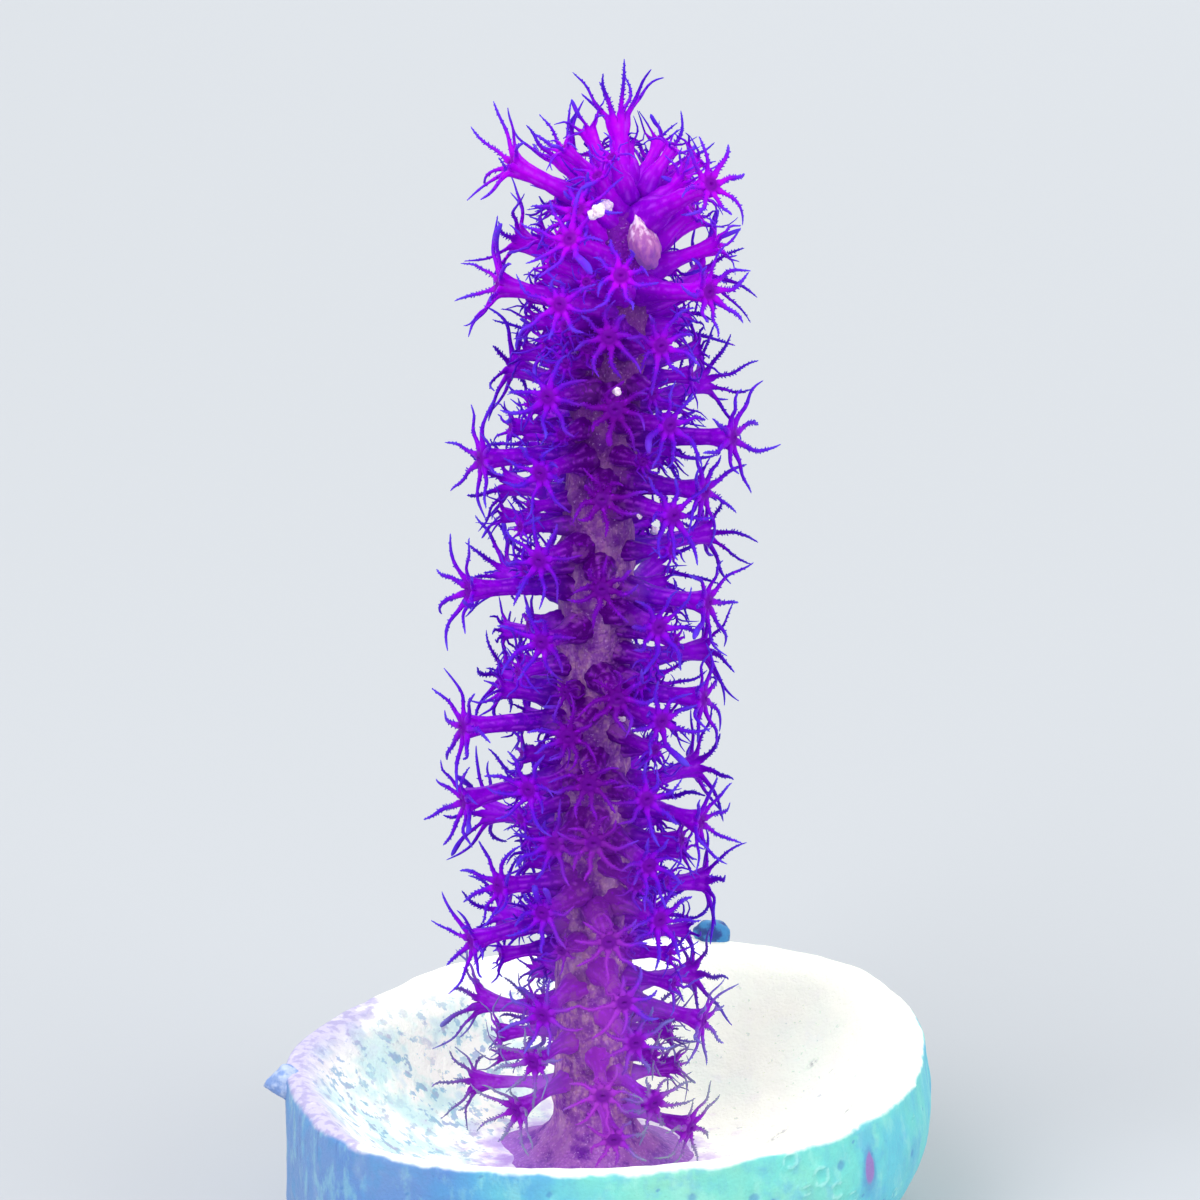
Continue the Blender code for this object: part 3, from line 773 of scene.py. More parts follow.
def build_rind(polyps):
    """The stem from its foot to its rounded tip, with a mound at each polyp."""
    low = FLOOR_HEIGHT - FOOT_DEPTH
    shares = np.linspace(0, 1, RIND_RINGS)
    tip_start = STEM_TOP - STEM_ROUNDING
    body = low + (tip_start - low) * shares ** RING_CROWDING
    tip = tip_start + STEM_ROUNDING * np.sin(np.linspace(0, math.pi / 2, RIND_TIP_RINGS)[1:-1])
    heights = np.concatenate((body, tip))
    turns = TAU * np.arange(RIND_AROUND) / RIND_AROUND
    circle = np.stack((np.cos(turns), np.sin(turns), np.zeros(RIND_AROUND)), axis=1)
    grid = []
    foot_top = FLOOR_HEIGHT + FOOT_GAP
    for height in heights:
        radius = stem_radius(max(height, foot_top)) + FOOT_SPREAD * max(0.0, foot_top - height)
        radius += SKIRT_REACH * math.exp(-max(0.0, height - FLOOR_HEIGHT) / SKIRT_HEIGHT)
        spread = max(0.0, 1 - (height - low) / FOOT_WAVES_REACH) ** 1.5
        waves = sum(size * np.sin(count * turns + shift) for size, count, shift in FOOT_WAVES)
        lobes = 1 + FOOT_LOBES * spread * waves
        grid.append(np.array(stem_centre(height)) + circle * radius * lobes[:, None])
    grid = np.array(grid)
    plain = grid.reshape(-1, 3)
    normals = normals_of(grid).reshape(-1, 3)
    mound = np.zeros(len(plain))
    for polyp, *_ in polyps:
        root, axis = polyp_root(polyp)
        gap = plain - root
        along = gap @ axis
        aside = np.linalg.norm(gap - along[:, None] * axis, axis=1)
        mound = np.maximum(mound, np.exp(-(aside / CALYX_SPREAD) ** 2) * (along > 0))
    shut = np.zeros(len(plain))
    for place in shut_polyps():
        shut = np.maximum(shut, blob(plain, place, SHUT_SPREAD))
    height = CALYX_HEIGHT * mound + SHUT_HEIGHT * shut + rough(plain, RIND_ROUGHNESS, RIND_SEED)
    shaped = plain + normals * height[:, None]
    skin = Skin("mound", "shut")
    numbers = skin.add(shaped, mound=mound, shut=shut).reshape(len(heights), RIND_AROUND)
    skin.sleeve(numbers)
    skin.close(numbers[0][::-1], skin.add([stem_centre(low)])[0])
    skin.close(numbers[-1], skin.add([stem_centre(TIP_POLE)])[0])
    return skin.make("stem_rind")


# The polyps

def add_tentacle(skin, rng, root, crown, axis, spoke, opening, shape, build, look):
    """A tapered tube from its root loop to a rounded tip, with pinnules on both sides."""
    side = np.cross(axis, spoke)
    shares = np.array(TENTACLE_SHARES[::build.stride])
    if shares[-1] < 1:
        shares = np.append(shares, 1.0)
    path = tentacle_path(crown, axis, spoke * build.size, side, opening, shape, shares)
    slope = opening + shape[1] * shares
    inner = np.sin(slope)[:, None] * axis - np.cos(slope)[:, None] * spoke
    grown = np.minimum(1, 2 * shares)
    waves = [rng.uniform(*WAVE_HEIGHT) * grown
             * np.sin(TAU * rng.uniform(*WAVE_TURNS) * shares + rng.uniform(0, TAU)) for _ in range(2)]
    hook = rng.uniform(*HOOK_REACH) * np.clip((shares - HOOK_START) / (1 - HOOK_START), 0, 1) ** 2
    turn = rng.uniform(0, TAU)
    path = (path + (waves[0] + hook * math.cos(turn))[:, None] * side
            + (waves[1] + hook * math.sin(turn))[:, None] * inner)
    tangent = unit(np.gradient(path, axis=0))
    sides = unit(side - tangent * (tangent @ side)[:, None])
    inners = np.cross(tangent, sides)
    club = rng.random() < mix(CLUB_CHANCE, look["high"])
    radii = np.interp(shares, RADIUS_SHARES, CLUB_RADII if club else SLIM_RADII) * MM * build.size
    radii[2:] *= mix((1, PALE_SLIMMING), look["pale"])
    radii[1:] *= rng.uniform(*RADIUS_SPREAD)
    radii *= 1 + RADIUS_ROUGHNESS * rng.uniform(-1, 1, len(shares))
    turns = np.radians(ROOT_ANGLES)
    webbed = 1 + WEB_FLARE * np.clip(1 - (shares - shares[0]) / WEB_SHARE, 0, 1)
    wheel = (webbed[:, None, None] * np.cos(turns)[None, :, None] * sides[:, None, :]
             + TENTACLE_FLATNESS * np.sin(turns)[None, :, None] * inners[:, None, :])
    rings = path[:, None, :] + radii[:, None, None] * wheel
    numbers = [skin.add(ring, tone=mix(TENTACLE_TONES, share), **look)
               for ring, share in zip(rings, shares)]
    skin.bridge(root, numbers[0])
    skin.sleeve(numbers)
    tip = path[-1] + tangent[-1] * radii[-1]
    skin.close(numbers[-1], skin.add([tip], tone=1.0, **look)[0])
    add_pinnules(skin, rng, shares, (path, sides, tangent, inners), radii, build, look)


def add_pinnules(skin, rng, shares, frames, radii, build, look):
    """Two rows of short blunt side branches, each closed at its buried end."""
    turns = TAU * np.arange(PINNULE_SIDES) / PINNULE_SIDES
    thick = PINNULE_RADIUS * build.size
    for row in (-1, 1):
        places = np.linspace(*PINNULE_SHARES, build.pinnules)
        places = places + rng.uniform(-PINNULE_DRIFT, PINNULE_DRIFT, build.pinnules)
        for place in places:
            at, out, ahead, up = (np.array([np.interp(place, shares, part) for part in parts.T])
                                  for parts in frames)
            radius = float(np.interp(place, shares, radii))
            lean = PINNULE_LEAN * rng.uniform(*PINNULE_LEAN_SPREAD)
            way = unit(row * out + lean * ahead + rng.uniform(*PINNULE_RISE) * up)
            length = rng.uniform(*PINNULE_LENGTH) * math.sin(math.pi * mix(PINNULE_FULLNESS, place))
            across = unit(np.cross(way, up))
            wheel = wheel_of(turns, across, np.cross(way, across))
            foot = at + way * radius * 0.5
            reach = radius * 0.5 + length * build.size
            tone = mix(PINNULE_TONES, place)
            shoulder, taper = PINNULE_SHOULDER
            base = skin.add(foot + wheel * thick, tone=tone, **look)
            middle = skin.add(foot + way * reach * shoulder + wheel * thick * taper,
                              tone=tone + PINNULE_TONE_STEP, **look)
            tip = skin.add([foot + way * reach], tone=tone + 2 * PINNULE_TONE_STEP, **look)[0]
            skin.faces.append(tuple(base.tolist()[::-1]))
            skin.bridge(base, middle)
            skin.close(middle, tip)


def add_column(skin, rng, polyp, spin, frame_of, build, look):
    """A polyp's fluted column, from inside the stem to the ring round its crown."""
    _, _, reach, lift = polyp
    crown, axis, across, up = frame_of
    longest = reach / math.cos(math.radians(lift))
    stations = CALYX_REACH + tuple(longest - back * build.size for back in NECK_BACK)
    stations = np.maximum.accumulate(np.array(stations))
    even = np.linspace(0, 1, build.rings)
    distances = (ROOT_OFFSET + (longest - NECK_BACK[-1] * build.size - ROOT_OFFSET)
                 * (even + COLUMN_CROWDING * np.sin(TAU * even)))
    radii = np.interp(distances, stations, CALYX_RADII + NECK_RADII) * build.size
    radii[1:-1] = (radii[:-2] + 2 * radii[1:-1] + radii[2:]) / 4
    radii *= 1 - PALE_WAIST * look["pale"] * np.sin(math.pi * even)
    angles = spin - TAU / TENTACLES / 2 + TAU * np.arange(COLUMN_AROUND) / COLUMN_AROUND
    groove = np.arange(COLUMN_AROUND) % (COLUMN_AROUND // TENTACLES) == 0
    wheel = wheel_of(angles, across, up)
    sag = COLUMN_SAG * np.sin(math.pi * even)
    lean = spoke_of(across, up, rng.uniform(0, TAU))
    phase = rng.uniform(0, TAU)
    rings = []
    for share, distance, radius, bow in zip(even, distances, radii, sag):
        folds = 1 - FOLD_DEPTH * groove
        folds = folds + WRINKLE_DEPTH * np.sin(TAU * distance / WRINKLE_PITCH + phase)
        folds = folds + COLUMN_ROUGHNESS * rng.uniform(-1, 1, COLUMN_AROUND)
        lobes = 1 + LOBE_DEPTH * (1 - 2 * groove) * share ** LOBE_POWER
        centre = crown + axis * (distance - longest) + lean * bow
        # Each groove gets a pale painted highlight of random strength
        rings.append(skin.add(centre + wheel * (radius * folds * lobes)[:, None],
                              tone=COLUMN_TONE * share, streak=groove * mix(GROOVE_HIGHLIGHTS, rng.random()),
                              **look))
    skin.faces.append(tuple(rings[0].tolist()[::-1]))
    skin.sleeve(rings)
    return rings[-1], angles, wheel


# How large a polyp is, and how finely it is made
Build = namedtuple("Build", "size rings stride pinnules")


def add_polyp(skin, rng, polyp, spin, opening, shapes, build):
    """One closed polyp: its column, mouth disc and eight tentacles."""
    crown, axis, across, up = frame_of = polyp_frame(*polyp)
    height, azimuth = polyp[:2]
    frontal = facing(azimuth, IN_FRONT) ** 4
    look = {
        "pale": clipped((PALE_BELOW - height) / FADE),
        # Painted shade on the tentacles of the far side, and a little darkening at random
        "deep": max(facing(azimuth, BEHIND) ** 2, DEEP_SPREAD * rng.random()),
        "high": clipped((height - HIGH_ABOVE) / FADE),
    }
    outer, angles, wheel = add_column(skin, rng, polyp, spin, frame_of, build, look)
    disc = skin.add(crown + (axis * DISC_RISE + wheel * DISC_RADIUS) * build.size,
                    tone=MOUTH_TONE, mouth=DISC_SHADE, **look)
    rings = [disc]
    for first, second, rise in MOUTH_RINGS:
        oval = wheel_of(angles, across * first, up * second)
        rings.append(skin.add(crown + (axis * rise + oval) * build.size,
                              tone=MOUTH_TONE, mouth=1, **look))
    skin.sleeve(rings)
    pole = skin.add([crown + axis * MOUTH_DEPTH * build.size], tone=MOUTH_TONE, mouth=1, **look)[0]
    skin.close(rings[-1], pole)
    step = COLUMN_AROUND // TENTACLES
    for i, (length, curl, sway) in enumerate(shapes):
        span = [(step * i + j) % COLUMN_AROUND for j in range(step + 1)]
        root = np.concatenate((outer[span], disc[span[::-1]]))
        spoke = spoke_of(across, up, spin + TAU * i / TENTACLES)
        shape = (length * mix(LENGTHENING, frontal), curl, sway)
        add_tentacle(skin, rng, root, crown, axis, spoke, opening, shape, build, look)


def young_polyps(polyps):
    """Short polyps in the gaps between the others' roots, crowded at the tip and sparse at the foot.

    None grows where the stem shows at the front.
    """
    rng = random.Random(YOUNG_SEED)
    taken = [leaves_stem(polyp) for polyp, *_ in polyps]
    young = []
    for _ in range(YOUNG_TRIES):
        low, azimuth = rng.uniform(*YOUNG_HEIGHTS), rng.uniform(0, 360)
        if rng.random() < CROWDED_CHANCE:
            low = rng.uniform(TIP_START, YOUNG_HEIGHTS[1])
        if low < TIP_START and abs(azimuth - IN_FRONT) < BARE_TURN:
            continue
        if low > BUD_GAP_ABOVE and abs(azimuth - BUD_AZIMUTH) < BUD_CLEARING:
            continue
        if low < SPARSE_BELOW and rng.random() > SPARSE_CHANCE:
            continue
        lift = rng.uniform(*YOUNG_LIFT) + TIP_LIFT * max(0.0, (low - TIP_START) / (STEM_TOP - TIP_START))
        far = rng.uniform(*YOUNG_REACH)
        turn = math.radians(lift)
        polyp = (low + far * math.sin(turn), azimuth, far * math.cos(turn), lift)
        place = leaves_stem(polyp)
        if np.linalg.norm(np.array(taken) - place, axis=1).min() < YOUNG_SPACING[low > TIP_START]:
            continue
        taken.append(place)
        shapes = [(rng.uniform(*YOUNG_LENGTH), math.radians(rng.uniform(*CURL)), rng.uniform(-SWAY, SWAY))
                  for _ in range(TENTACLES)]
        opening = math.radians(rng.uniform(*OPENING))
        young.append((polyp, rng.uniform(0, TAU / TENTACLES), opening, shapes))
        if len(young) == YOUNG_COUNT:
            break
    return young


def before_stem(points):
    """1 at points straight in front of the stem, on its -Y side, falling to 0 beside it."""
    rise = np.clip((points[:, 2] - LEAN_START) / (STEM_TOP - LEAN_START), 0, None)
    aside = (points[:, 0] - STEM_SHIFT - STEM_LEAN * rise ** 2) / BAND_HALF_WIDTH
    return np.exp(-aside ** 4) * np.clip(-points[:, 1] / MM, 0, 1)


# Pieces of polyps, by the height of their crowns
POLYP_PIECES = (("polyps_foot", 0.0, 15.0), ("polyps_low", 15.0, 24.5), ("polyps_middle", 24.5, 34.2),
                ("polyps_high", 34.2, 43.8), ("polyps_tip", 43.8, 60.0))


def build_polyps(polyps):
    """All the polyps, in pieces from the foot to the tip."""
    rng = np.random.RandomState(SEED)
    grown = Build(1.0, COLUMN_RINGS, 1, PINNULES)
    sorts = [(plan, grown) for plan in polyps]
    for plan in young_polyps(polyps):
        sorts.append((plan, Build(rng.uniform(*YOUNG_SIZE), YOUNG_COLUMN_RINGS, 2, YOUNG_PINNULES)))
    pieces = []
    for name, low, high in POLYP_PIECES:
        skin = Skin("tone", "streak", "mouth", "front", "pale", "deep", "high")
        for plan, build in sorts:
            if low * MM <= plan[0][0] < high * MM:
                add_polyp(skin, rng, *plan, build)
        skin.values["front"] = [before_stem(np.vstack(skin.points))]
        pieces.append(skin.make(name))
    return pieces


def build_bud():
    """The bare pale bud beside the tip: a lumpy cone."""
    bm = bmesh.new()
    centre = stem_centre(BUD_HEIGHT) + on_ring(BUD_AZIMUTH, stem_radius(BUD_HEIGHT) + BUD_STAND, 0.0)

    def place(point, swell):
        slim = 1.0 - BUD_TAPER[0] * max(0.0, point.z) ** BUD_TAPER[1]
        x, y, z = (part * half * swell for part, half in zip(point, BUD_SIZE))
        return centre + Vector((x * slim - BUD_TILT * z, y * slim, z))

    add_lump(bm, BUD_SWELLING, (0, 0), place)
    return link_bmesh("bare_bud", bm)


# White grains of sand that cling to the colony: pixel and half size in millimetres
GRAINS = (((617, 390), 0.20), ((530, 497), 0.18), ((670, 498), 0.19), ((655, 530), 0.20),
          ((640, 515), 0.13), ((620, 717), 0.20), ((607, 205), 0.34), ((600, 210), 0.28),
          ((593, 214), 0.22))


def build_grains(pieces):
    """Rough white grains where the photograph shows them, sunk a little into what carries them."""
    points, faces = [], []
    for piece in pieces:
        faces += [[len(points) + corner for corner in polygon.vertices]
                  for polygon in piece.data.polygons]
        points += [vert.co.copy() for vert in piece.data.vertices]
    tree = BVHTree.FromPolygons(points, faces)
    bm = bmesh.new()
    for number, (pixel, size) in enumerate(GRAINS):
        point, normal = seen_at(tree, pixel)
        centre = point + normal * GRAIN_STAND * size * MM

        def place(spot, swell):
            return centre + spot * swell * size * MM

        add_lump(bm, GRAIN_SWELLING, [number * shift for shift in GRAIN_SHIFTS], place)
    return link_bmesh("sand_grains", bm)


# Materials

class Finish:
    """A node material while it is made. Its sizes and heights are in millimetres."""

    def __init__(self, name):
        self.material = bpy.data.materials.new(name)
        self.material.use_nodes = True
        self.tree = self.material.node_tree
        self.shader = self.tree.nodes["Principled BSDF"]

    def node(self, kind, output, inputs, **settings):
        """One output of a new node with these settings, and these inputs, by name or number."""
        node = self.tree.nodes.new("ShaderNode" + kind)
        for key, value in settings.items():
            setattr(node, key, value)
        for key, value in inputs.items():
            self.set(node.inputs[key], value)
        return node.outputs[output]

    def set(self, socket, value):
        """Link an output to an input, or give the input a value."""
        if isinstance(value, bpy.types.NodeSocket):
            self.tree.links.new(value, socket)
        else:
            socket.default_value = value

    def value(self, name):
        """A value that the mesh carries."""
        return self.node("Attribute", "Fac", {}, attribute_name=name)

    def places(self, stretch=1):
        """Object coordinates, with those along Z stretched."""
        coords = self.node("TexCoord", "Object", {})
        scale = (1 / MM, 1 / MM, stretch / MM)
        return self.node("Mapping", "Vector", {"Vector": coords, "Scale": scale})

    def along(self, axis):
        """The object coordinate along one axis."""
        return self.node("SeparateXYZ", axis, {"Vector": self.places()})

    def noise(self, size, detail=3, rough=0.55, stretch=1):
        """Noise with bumps of this size."""
        return self.node("TexNoise", "Fac", {"Vector": self.places(stretch), "Scale": 1 / size,
                                             "Detail": detail, "Roughness": rough})

    def cells(self, size):
        """Distance to the middle of the nearest cell."""
        return self.node("TexVoronoi", "Distance", {"Vector": self.places(), "Scale": 1 / size})

    def math(self, operation, first, second, clamp=False):
        """A sum on two values."""
        return self.node("Math", 0, {0: first, 1: second}, operation=operation, use_clamp=clamp)

    def times(self, first, second):
        """The product of two values."""
        return self.math('MULTIPLY', first, second)

    def plus(self, first, second, clamp=False):
        """The sum of two values."""
        return self.math('ADD', first, second, clamp)

    def step(self, value, low, high, end=1.0, start=0.0):
        """A value taken smoothly from one range, low to high, to another, start to end."""
        ranges = {"From Min": low, "From Max": high, "To Min": start, "To Max": end}
        return self.node("MapRange", "Result", {"Value": value, **ranges},
                         interpolation_type='SMOOTHSTEP')

    def patches(self, size, low, high, end=1.0, start=0.0, **detail):
        """Soft patches of this size: noise taken from one range to another."""
        return self.step(self.noise(size, **detail), low, high, end, start)

    def wobble(self, size, height, **detail):
        """Noise of this size, between minus and plus a height."""
        return self.patches(size, 0.3, 0.7, height, -height, **detail)

    def ramp(self, value, *stops):
        """A colour from a ramp of (place, sRGB code) stops."""
        colour = self.node("ValToRGB", "Color", {"Fac": value})
        band = colour.node.color_ramp.elements
        while len(band) < len(stops):
            band.new(1.0)
        for element, (place, code) in zip(band, stops):
            element.position = place
            element.color = srgb(code)
        return colour

    def blend(self, share, first, second, kind='MIX'):
        """Two colours, as outputs or sRGB codes, mixed by a share."""
        first, second = (srgb(part) if isinstance(part, str) else part for part in (first, second))
        return self.node("Mix", 2, {"Factor": share, 6: first, 7: second},
                         data_type='RGBA', blend_type=kind)

    def coat(self, colour, *layers):
        """A colour with others over it. Each layer is a share and a colour."""
        for share, over in layers:
            colour = self.blend(share, colour, over)
        return colour

    def bump(self, height, distance, strength):
        """Give the shader's normal bumps of this height."""
        inputs = {"Height": height, "Distance": distance * MM, "Strength": strength}
        self.set(self.shader.inputs["Normal"], self.node("Bump", "Normal", inputs))

    def finish(self, colour, roughness, glow=("FFFFFF", 0), **uniform):
        """Set the shader's colour, roughness, glow and values that are the same all over."""
        uniform.update(Emission_Color=srgb(glow[0]), Emission_Strength=glow[1])
        for key, value in (("Base Color", colour), ("Roughness", roughness), *uniform.items()):
            self.set(self.shader.inputs[key.replace("_", " ")], value)
        return self.material


def tissue_finish():
    """Polyps: magenta-violet columns, dark mouths and blue-violet tentacles."""
    f = Finish("polyp_tissue")
    tone = f.plus(f.value("tone"), f.wobble(0.5, 0.07))
    height, high, before = f.along("Z"), f.value("high"), f.value("front")
    side = f.ramp(tone, (0.0, "3A0098"), (0.2, "5600AC"), (0.42, "8C00D4"), (0.55, "7E00CC"),
                  (0.70, "5A08C6"), (0.85, "501CCA"), (1.0, "543CD6"))
    tip = f.ramp(tone, (0.0, "8400C4"), (0.42, "BC00E4"), (0.60, "A400DC"), (0.80, "7014D8"),
                 (1.0, "5A38DE"))
    front = f.ramp(tone, (0.0, "400060"), (0.2, "4C006C"), (0.42, "600086"), (0.55, "58007C"),
                   (0.75, "60008C"), (1.0, "6C08A0"))
    pale = f.ramp(tone, (0.0, "A468CC"), (0.2, "A058C8"), (0.42, "8410B0"), (0.55, "841CB0"),
                  (0.68, "8860A8"), (0.85, "84849C"), (1.0, "849498"))
    veil = f.times(f.step(tone, 0.50, 0.34), f.patches(1.2, 0.52, 0.60, detail=5))
    veil = f.times(veil, f.step(height, 44, 26, 0.6, start=0.1))
    # Front polyps turn mauve and lighter towards the foot: partly their own colour, partly painted light
    # that lifts the shade there
    front = f.coat(front, (f.step(height, 27, 11, 0.9), "9C38BC"), (veil, "A05CA4"))
    colour = f.coat(
        side,
        (f.times(high, 0.85), tip),
        (f.times(before, f.math('SUBTRACT', 1, high)), front),
        (f.times(f.value("pale"), f.math('SUBTRACT', 1, before)), pale),
        # Painted shade: tentacles on the far side darker blue, and some darker at random
        (f.times(f.value("deep"), f.step(tone, 0.45, 0.85, 0.6)), "2408B0"),
        # Pale painted highlights along the columns' grooves
        (f.times(f.value("streak"), f.patches(0.45, 0.42, 0.60, 0.6)), "C048F4"),
        (f.patches(0.22, 0.60, 0.74, 0.35, detail=1), "A408F0"),
        (f.times(f.value("mouth"), 0.75), "50007C"))
    grain = f.noise(0.16, detail=2)
    f.bump(grain, 0.03, 0.6)
    # The faint violet glow is painted light that lifts the tissue's shade, standing in for its
    # fluorescence
    return f.finish(colour, f.step(grain, 0.3, 0.7, 0.55, start=0.36), ("8A00D8", 0.08),
                    Specular_IOR_Level=0.05, Sheen_Weight=0.04, Sheen_Tint=srgb("7A50FF"),
                    Sheen_Roughness=0.35)


def rind_finish():
    """Stem: grainy mauve patches among dark violet, darker towards the tip."""
    f = Finish("coral_rind")
    height = f.along("Z")
    patch = f.patches(1.5, 0.34, 0.54, detail=5, rough=0.65)
    folds = f.noise(0.4, stretch=0.3)
    grains = f.step(f.cells(0.22), 0.10, 0.55)
    cup = f.math('MAXIMUM', f.step(f.value("mound"), 0.25, 0.75), f.value("shut"))
    light = f.ramp(f.noise(0.35), (0.30, "8C48B0"), (0.48, "A864BC"), (0.64, "C48CB4"))
    # Painted highlight on the crests of the folds and painted shade in their troughs
    light = f.coat(light, (f.step(folds, 0.52, 0.62, 0.6), "D4A8C8"),
                   (f.step(folds, 0.46, 0.38, 0.6), "7828A0"))
    dark = f.ramp(f.noise(0.6), (0.30, "640890"), (0.55, "7A18A8"), (0.75, "9030BC"))
    colour = f.coat(
        dark,
        (patch, light),
        (f.step(height, 26, 44, 0.85), f.blend(patch, "40005C", "702088")),
        (f.step(height, 45, 48), "8808B8"),
        (f.step(height, 7.5, 5.0, 0.8), f.blend(patch, "641C98", "AC68C4")),
        (f.step(height, 5.1, 4.4, 0.5), "A878D8"),
        (f.times(cup, 0.8), "5C0088"))
    colour = f.blend(f.times(grains, 0.25), colour, "5A2078", 'MULTIPLY')
    colour = f.blend(f.patches(0.14, 0.64, 0.74, 0.5, detail=1), colour, "C898D8")
    f.bump(f.plus(folds, f.plus(grains, f.noise(0.12))), 0.06, 0.8)
    # The faint violet glow is painted light that lifts the rind's shade
    return f.finish(colour, f.step(grains, 0, 1, 0.65, start=0.5), ("7A10A8", 0.07),
                    Specular_IOR_Level=0.2)


def bud_finish():
    """Bud: pinkish white at its tip, mauve and translucent at its foot."""
    f = Finish("pale_bud")
    mottle = f.patches(0.25, 0.35, 0.65, 0.2, start=-0.2, detail=4, stretch=0.5)
    rise = f.plus(f.step(f.along("Z"), 47.0, 50.2), mottle)
    colour = f.ramp(rise, (0.0, "7410A0"), (0.3, "8C2CA0"), (0.65, "AC5CA4"), (0.98, "F0D4E8"))
    f.bump(mottle, 0.05, 0.8)
    # The faint pink glow is painted light that brightens the bud
    return f.finish(colour, f.patches(0.2, 0.3, 0.7, 0.55, start=0.35), ("F0C0FF", 0.08),
                    Subsurface_Weight=0.3, Subsurface_Radius=(1.0, 0.7, 1.0),
                    Subsurface_Scale=0.4 * MM)


def grain_finish():
    """Sand grains: chalky white with a pink cast."""
    f = Finish("white_grit")
    f.bump(f.noise(0.06), 0.03, 0.7)
    return f.finish(f.ramp(f.noise(0.12), (0.3, "E0BCE4"), (0.55, "FCECF8")),
                    f.patches(0.1, 0.3, 0.7, 0.7, start=0.5),
                    Subsurface_Weight=0.15, Subsurface_Scale=0.2 * MM)


def ceramic_finish():
    """Plug: white dish with flecks, cream lip, and a side from blue to turquoise."""
    f = Finish("cast_ceramic")
    left, across = f.value("left"), f.along("X")
    dense = f.times(left, f.patches(3.4, 0.36, 0.52, start=0.3))
    flecked = f.times(f.patches(0.62, 0.53, 0.60, rough=0.6), dense)
    fleck = f.ramp(f.noise(1.1), (0.35, "8098C8"), (0.5, "74B4CC"), (0.65, "9094B8"))
    scratched = f.times(f.value("mark"), f.patches(0.2, 0.35, 0.55))
    stain = f.plus(f.value("stain"), f.wobble(1.1, 0.3, detail=4))
    dish = f.coat(
        "FFFFEE",
        (f.times(f.patches(2.8, 0.38, 0.66, detail=4), 0.35), "E6F8EA"),
        (f.patches(4.0, 0.5, 0.7, 0.5), "FFFCEC"),
        (f.times(left, f.patches(2.2, 0.45, 0.62, 0.75)), "B6E6E2"),
        (f.times(flecked, 0.85), fleck),
        (f.patches(0.35, 0.66, 0.70, 0.4, detail=2), "A8B4B8"),
        (f.times(scratched, 0.9), "8C8C94"),
        (f.step(stain, 0.1, 0.8, 0.75), "C4A4E0"),
        (f.step(stain, 0.6, 1.15, 0.85), "9C64CC"))
    far_left = f.step(across, -9.5, -12.5)
    pink = f.step(f.plus(far_left, f.wobble(1.2, 0.3)), 0.40, 0.85)
    creased = f.times(far_left, f.patches(0.5, 0.46, 0.58, 0.55, detail=4))
    lip = f.coat("FFFFF0", (f.times(pink, 0.8), "A89CD0"), (creased, "8478B4"))
    top = f.blend(f.value("lip"), dish, lip)

    turn = f.plus(f.step(across, -16, 16), f.wobble(5, 0.12))
    wall = f.ramp(turn, (0.0, "5580C0"), (0.15, "4478C0"), (0.30, "3E94C8"), (0.41, "50B4C8"),
                  (0.52, "66C8C0"), (0.70, "78C8B4"), (0.88, "5CC6C0"), (1.0, "4CB8CC"))
    streaks = f.noise(0.9, detail=5, rough=0.6, stretch=0.45)
    cracks = f.patches(0.6, 0.64, 0.69, 0.5, detail=2, stretch=0.2)
    blotch = f.plus(f.patches(1.6, 0.52, 0.70, detail=4), f.value("blue"), clamp=True)
    wall = f.coat(
        wall,
        (f.step(streaks, 0.50, 0.66, 0.30), "98DCD0"),
        (f.times(f.step(streaks, 0.48, 0.34), f.step(left, 0, 1, 0.5, start=0.2)), "3480BC"),
        (f.times(cracks, left), "2C58A0"),
        (f.times(blotch, 0.45), "3890CC"),
        (f.step(f.value("pit"), 0.35, 0.8, 0.6), "2A74B4"),
        (f.step(f.value("tube"), 0.4, 0.9, 0.5), "A0E0DC"),
        (f.step(f.value("plume"), 0.02, 0.35, 0.5), "3470B4"),
        (f.step(f.value("plume"), 0.35, 0.6, 0.85), "8C54AC"))
    edge = f.plus(f.value("side"), f.wobble(1.7, 0.22))
    colour = f.blend(f.step(edge, 0.30, 0.85), top, wall)
    pores = f.noise(0.15)
    f.bump(f.plus(pores, f.noise(0.5, detail=4)), 0.06, 0.7)
    # The faint glow is painted light that brightens the whole plug
    return f.finish(colour, f.step(pores, 0.3, 0.7, 0.72, start=0.5), ("F0FFE8", 0.08),
                    Specular_IOR_Level=0.3)


def bump_finish(name, first, second):
    """An edge lump of the plug: two mottled colours."""
    f = Finish(name)
    f.bump(f.noise(0.2), 0.06, 0.7)
    return f.finish(f.blend(f.patches(0.6, 0.4, 0.6, detail=4), first, second),
                    f.patches(0.3, 0.3, 0.7, 0.72, start=0.5))


# The studio, in metres and watts
STUDIO_RADIUS = 4.0
FLOOR_SIDES = 96
LAMPS = (("key", (-0.25, -0.30, 0.45), 0.35, 2.3, (1, 1, 1)),
         ("fill", (0.40, -0.25, 0.20), 0.40, 1.1, (0.98, 0.99, 1.0)),
         ("back", (0.05, 0.45, 0.40), 0.40, 1.5, (1, 1, 1)))
WORLD_COLOUR = (0.95, 0.98, 0.98, 1.0)
WORLD_STRENGTH = 0.8
CLIP = (MM, 20)


def add_light(name, place, size, power, colour):
    """A soft square lamp that faces the middle of the part."""
    lamp = bpy.data.lights.new(name, 'AREA')
    lamp.shape = 'SQUARE'
    lamp.size = size
    lamp.energy = power
    lamp.color = colour
    thing = link(lamp)
    thing.location = place
    thing.rotation_euler = (VIEW_TARGET - Vector(place)).to_track_quat('-Z', 'Y').to_euler()


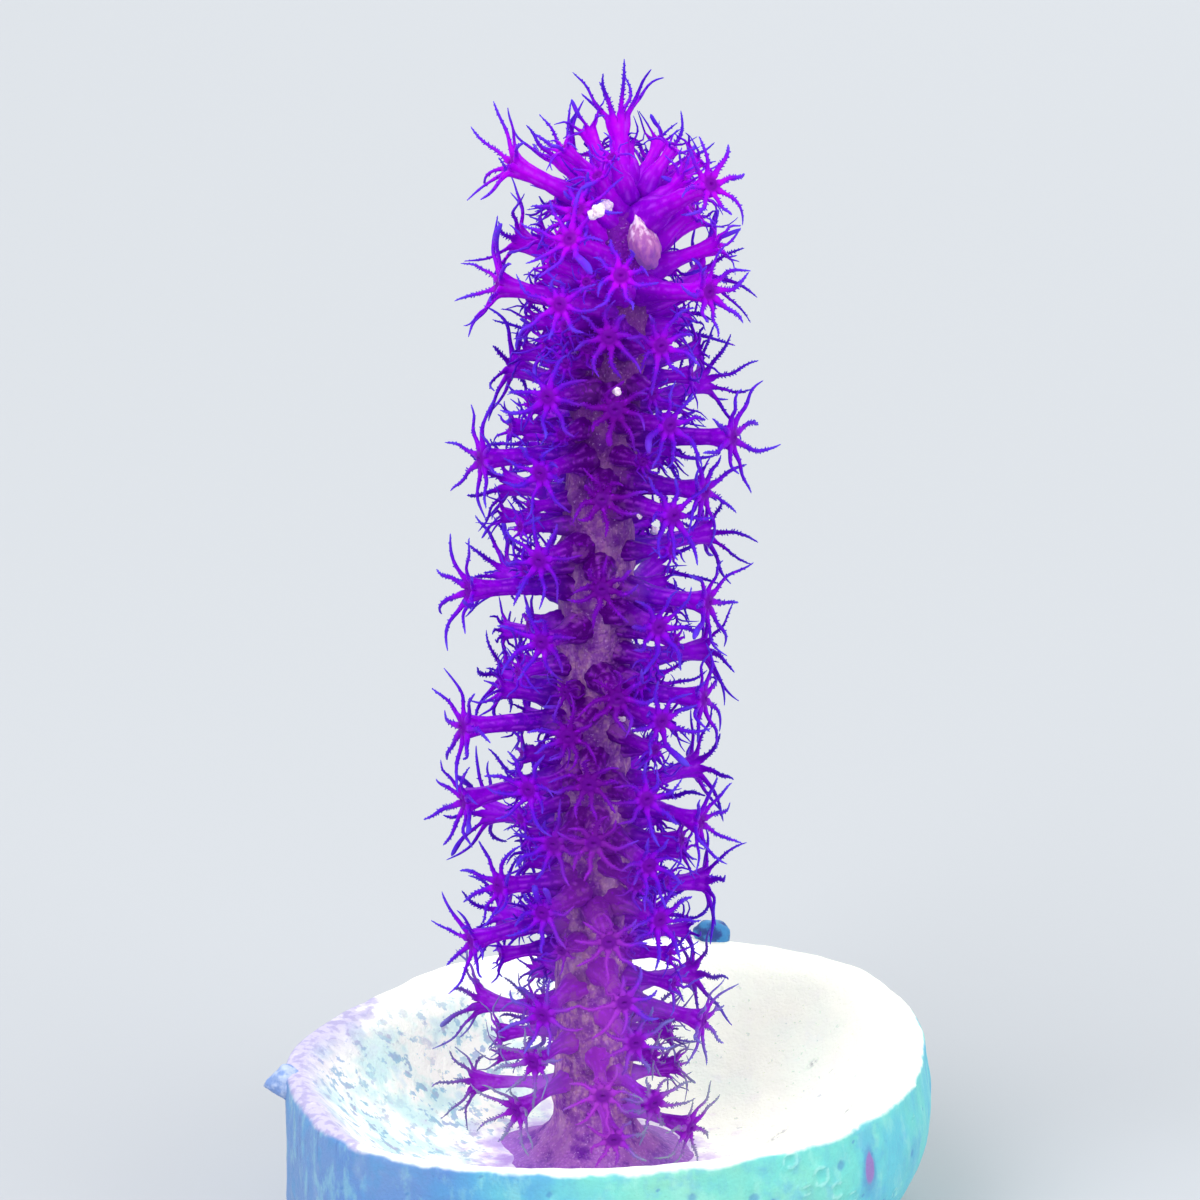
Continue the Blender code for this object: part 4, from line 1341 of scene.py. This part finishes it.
def build_studio():
    """A wide round floor, lamps, pale surroundings and the camera."""
    bm = bmesh.new()
    bmesh.ops.create_circle(bm, cap_ends=True, segments=FLOOR_SIDES, radius=STUDIO_RADIUS)
    floor = link_bmesh("studio_floor", bm)
    floor.data.materials.append(Finish("pale_floor").finish(srgb("B6B9BE"), 0.9))
    for lamp in LAMPS:
        add_light(*lamp)
    scene = bpy.context.scene
    world = bpy.data.worlds.new("studio")
    scene.world = world
    world.use_nodes = True
    surroundings = world.node_tree.nodes["Background"]
    surroundings.inputs["Color"].default_value = WORLD_COLOUR
    surroundings.inputs["Strength"].default_value = WORLD_STRENGTH
    scene.view_settings.view_transform = 'Standard'
    lens = bpy.data.cameras.new("camera")
    lens.sensor_width = SENSOR
    lens.lens = SENSOR * FOCAL_PIXELS / FRAME_SIDE
    lens.clip_start, lens.clip_end = CLIP
    camera = link(lens)
    camera.location = camera_place()[0]
    camera.rotation_euler = (math.pi / 2 - VIEW_ELEVATION, 0, 0)
    scene.camera = camera


def dress(piece, material, node):
    """Give a piece its finish, and its place in the frame."""
    piece.data.materials.append(material)
    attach(piece, "root")
    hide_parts(node)


polyps = plan_polyps()
plug = build_plug()
knob = build_bump("edge_knob", KNOB_AZIMUTH, KNOB_HEIGHT, SPUR_SIZE, taper=0.7, seed=3)
lump = build_bump("edge_lump", LUMP_AZIMUTH, LUMP_HEIGHT, LUMP_SIZE, taper=0.0, seed=9)
rind = build_rind(polyps)
bud = build_bud()
polyp_pieces = build_polyps(polyps)
grains = build_grains([rind, *polyp_pieces])

dress(plug, ceramic_finish(), "frag_plug")
dress(knob, bump_finish("pale_knob", "B4C4E4", "7C98D0"), "frag_plug")
dress(lump, bump_finish("blue_lump", "183C88", "3484BC"), "frag_plug")
dress(rind, rind_finish(), "gorgonian_branch")
dress(bud, bud_finish(), "gorgonian_branch")
dress(grains, grain_finish(), "gorgonian_branch")
tissue = tissue_finish()
for piece in polyp_pieces:
    dress(piece, tissue, "gorgonian_branch")

build_studio()

bpy.context.view_layer.update()
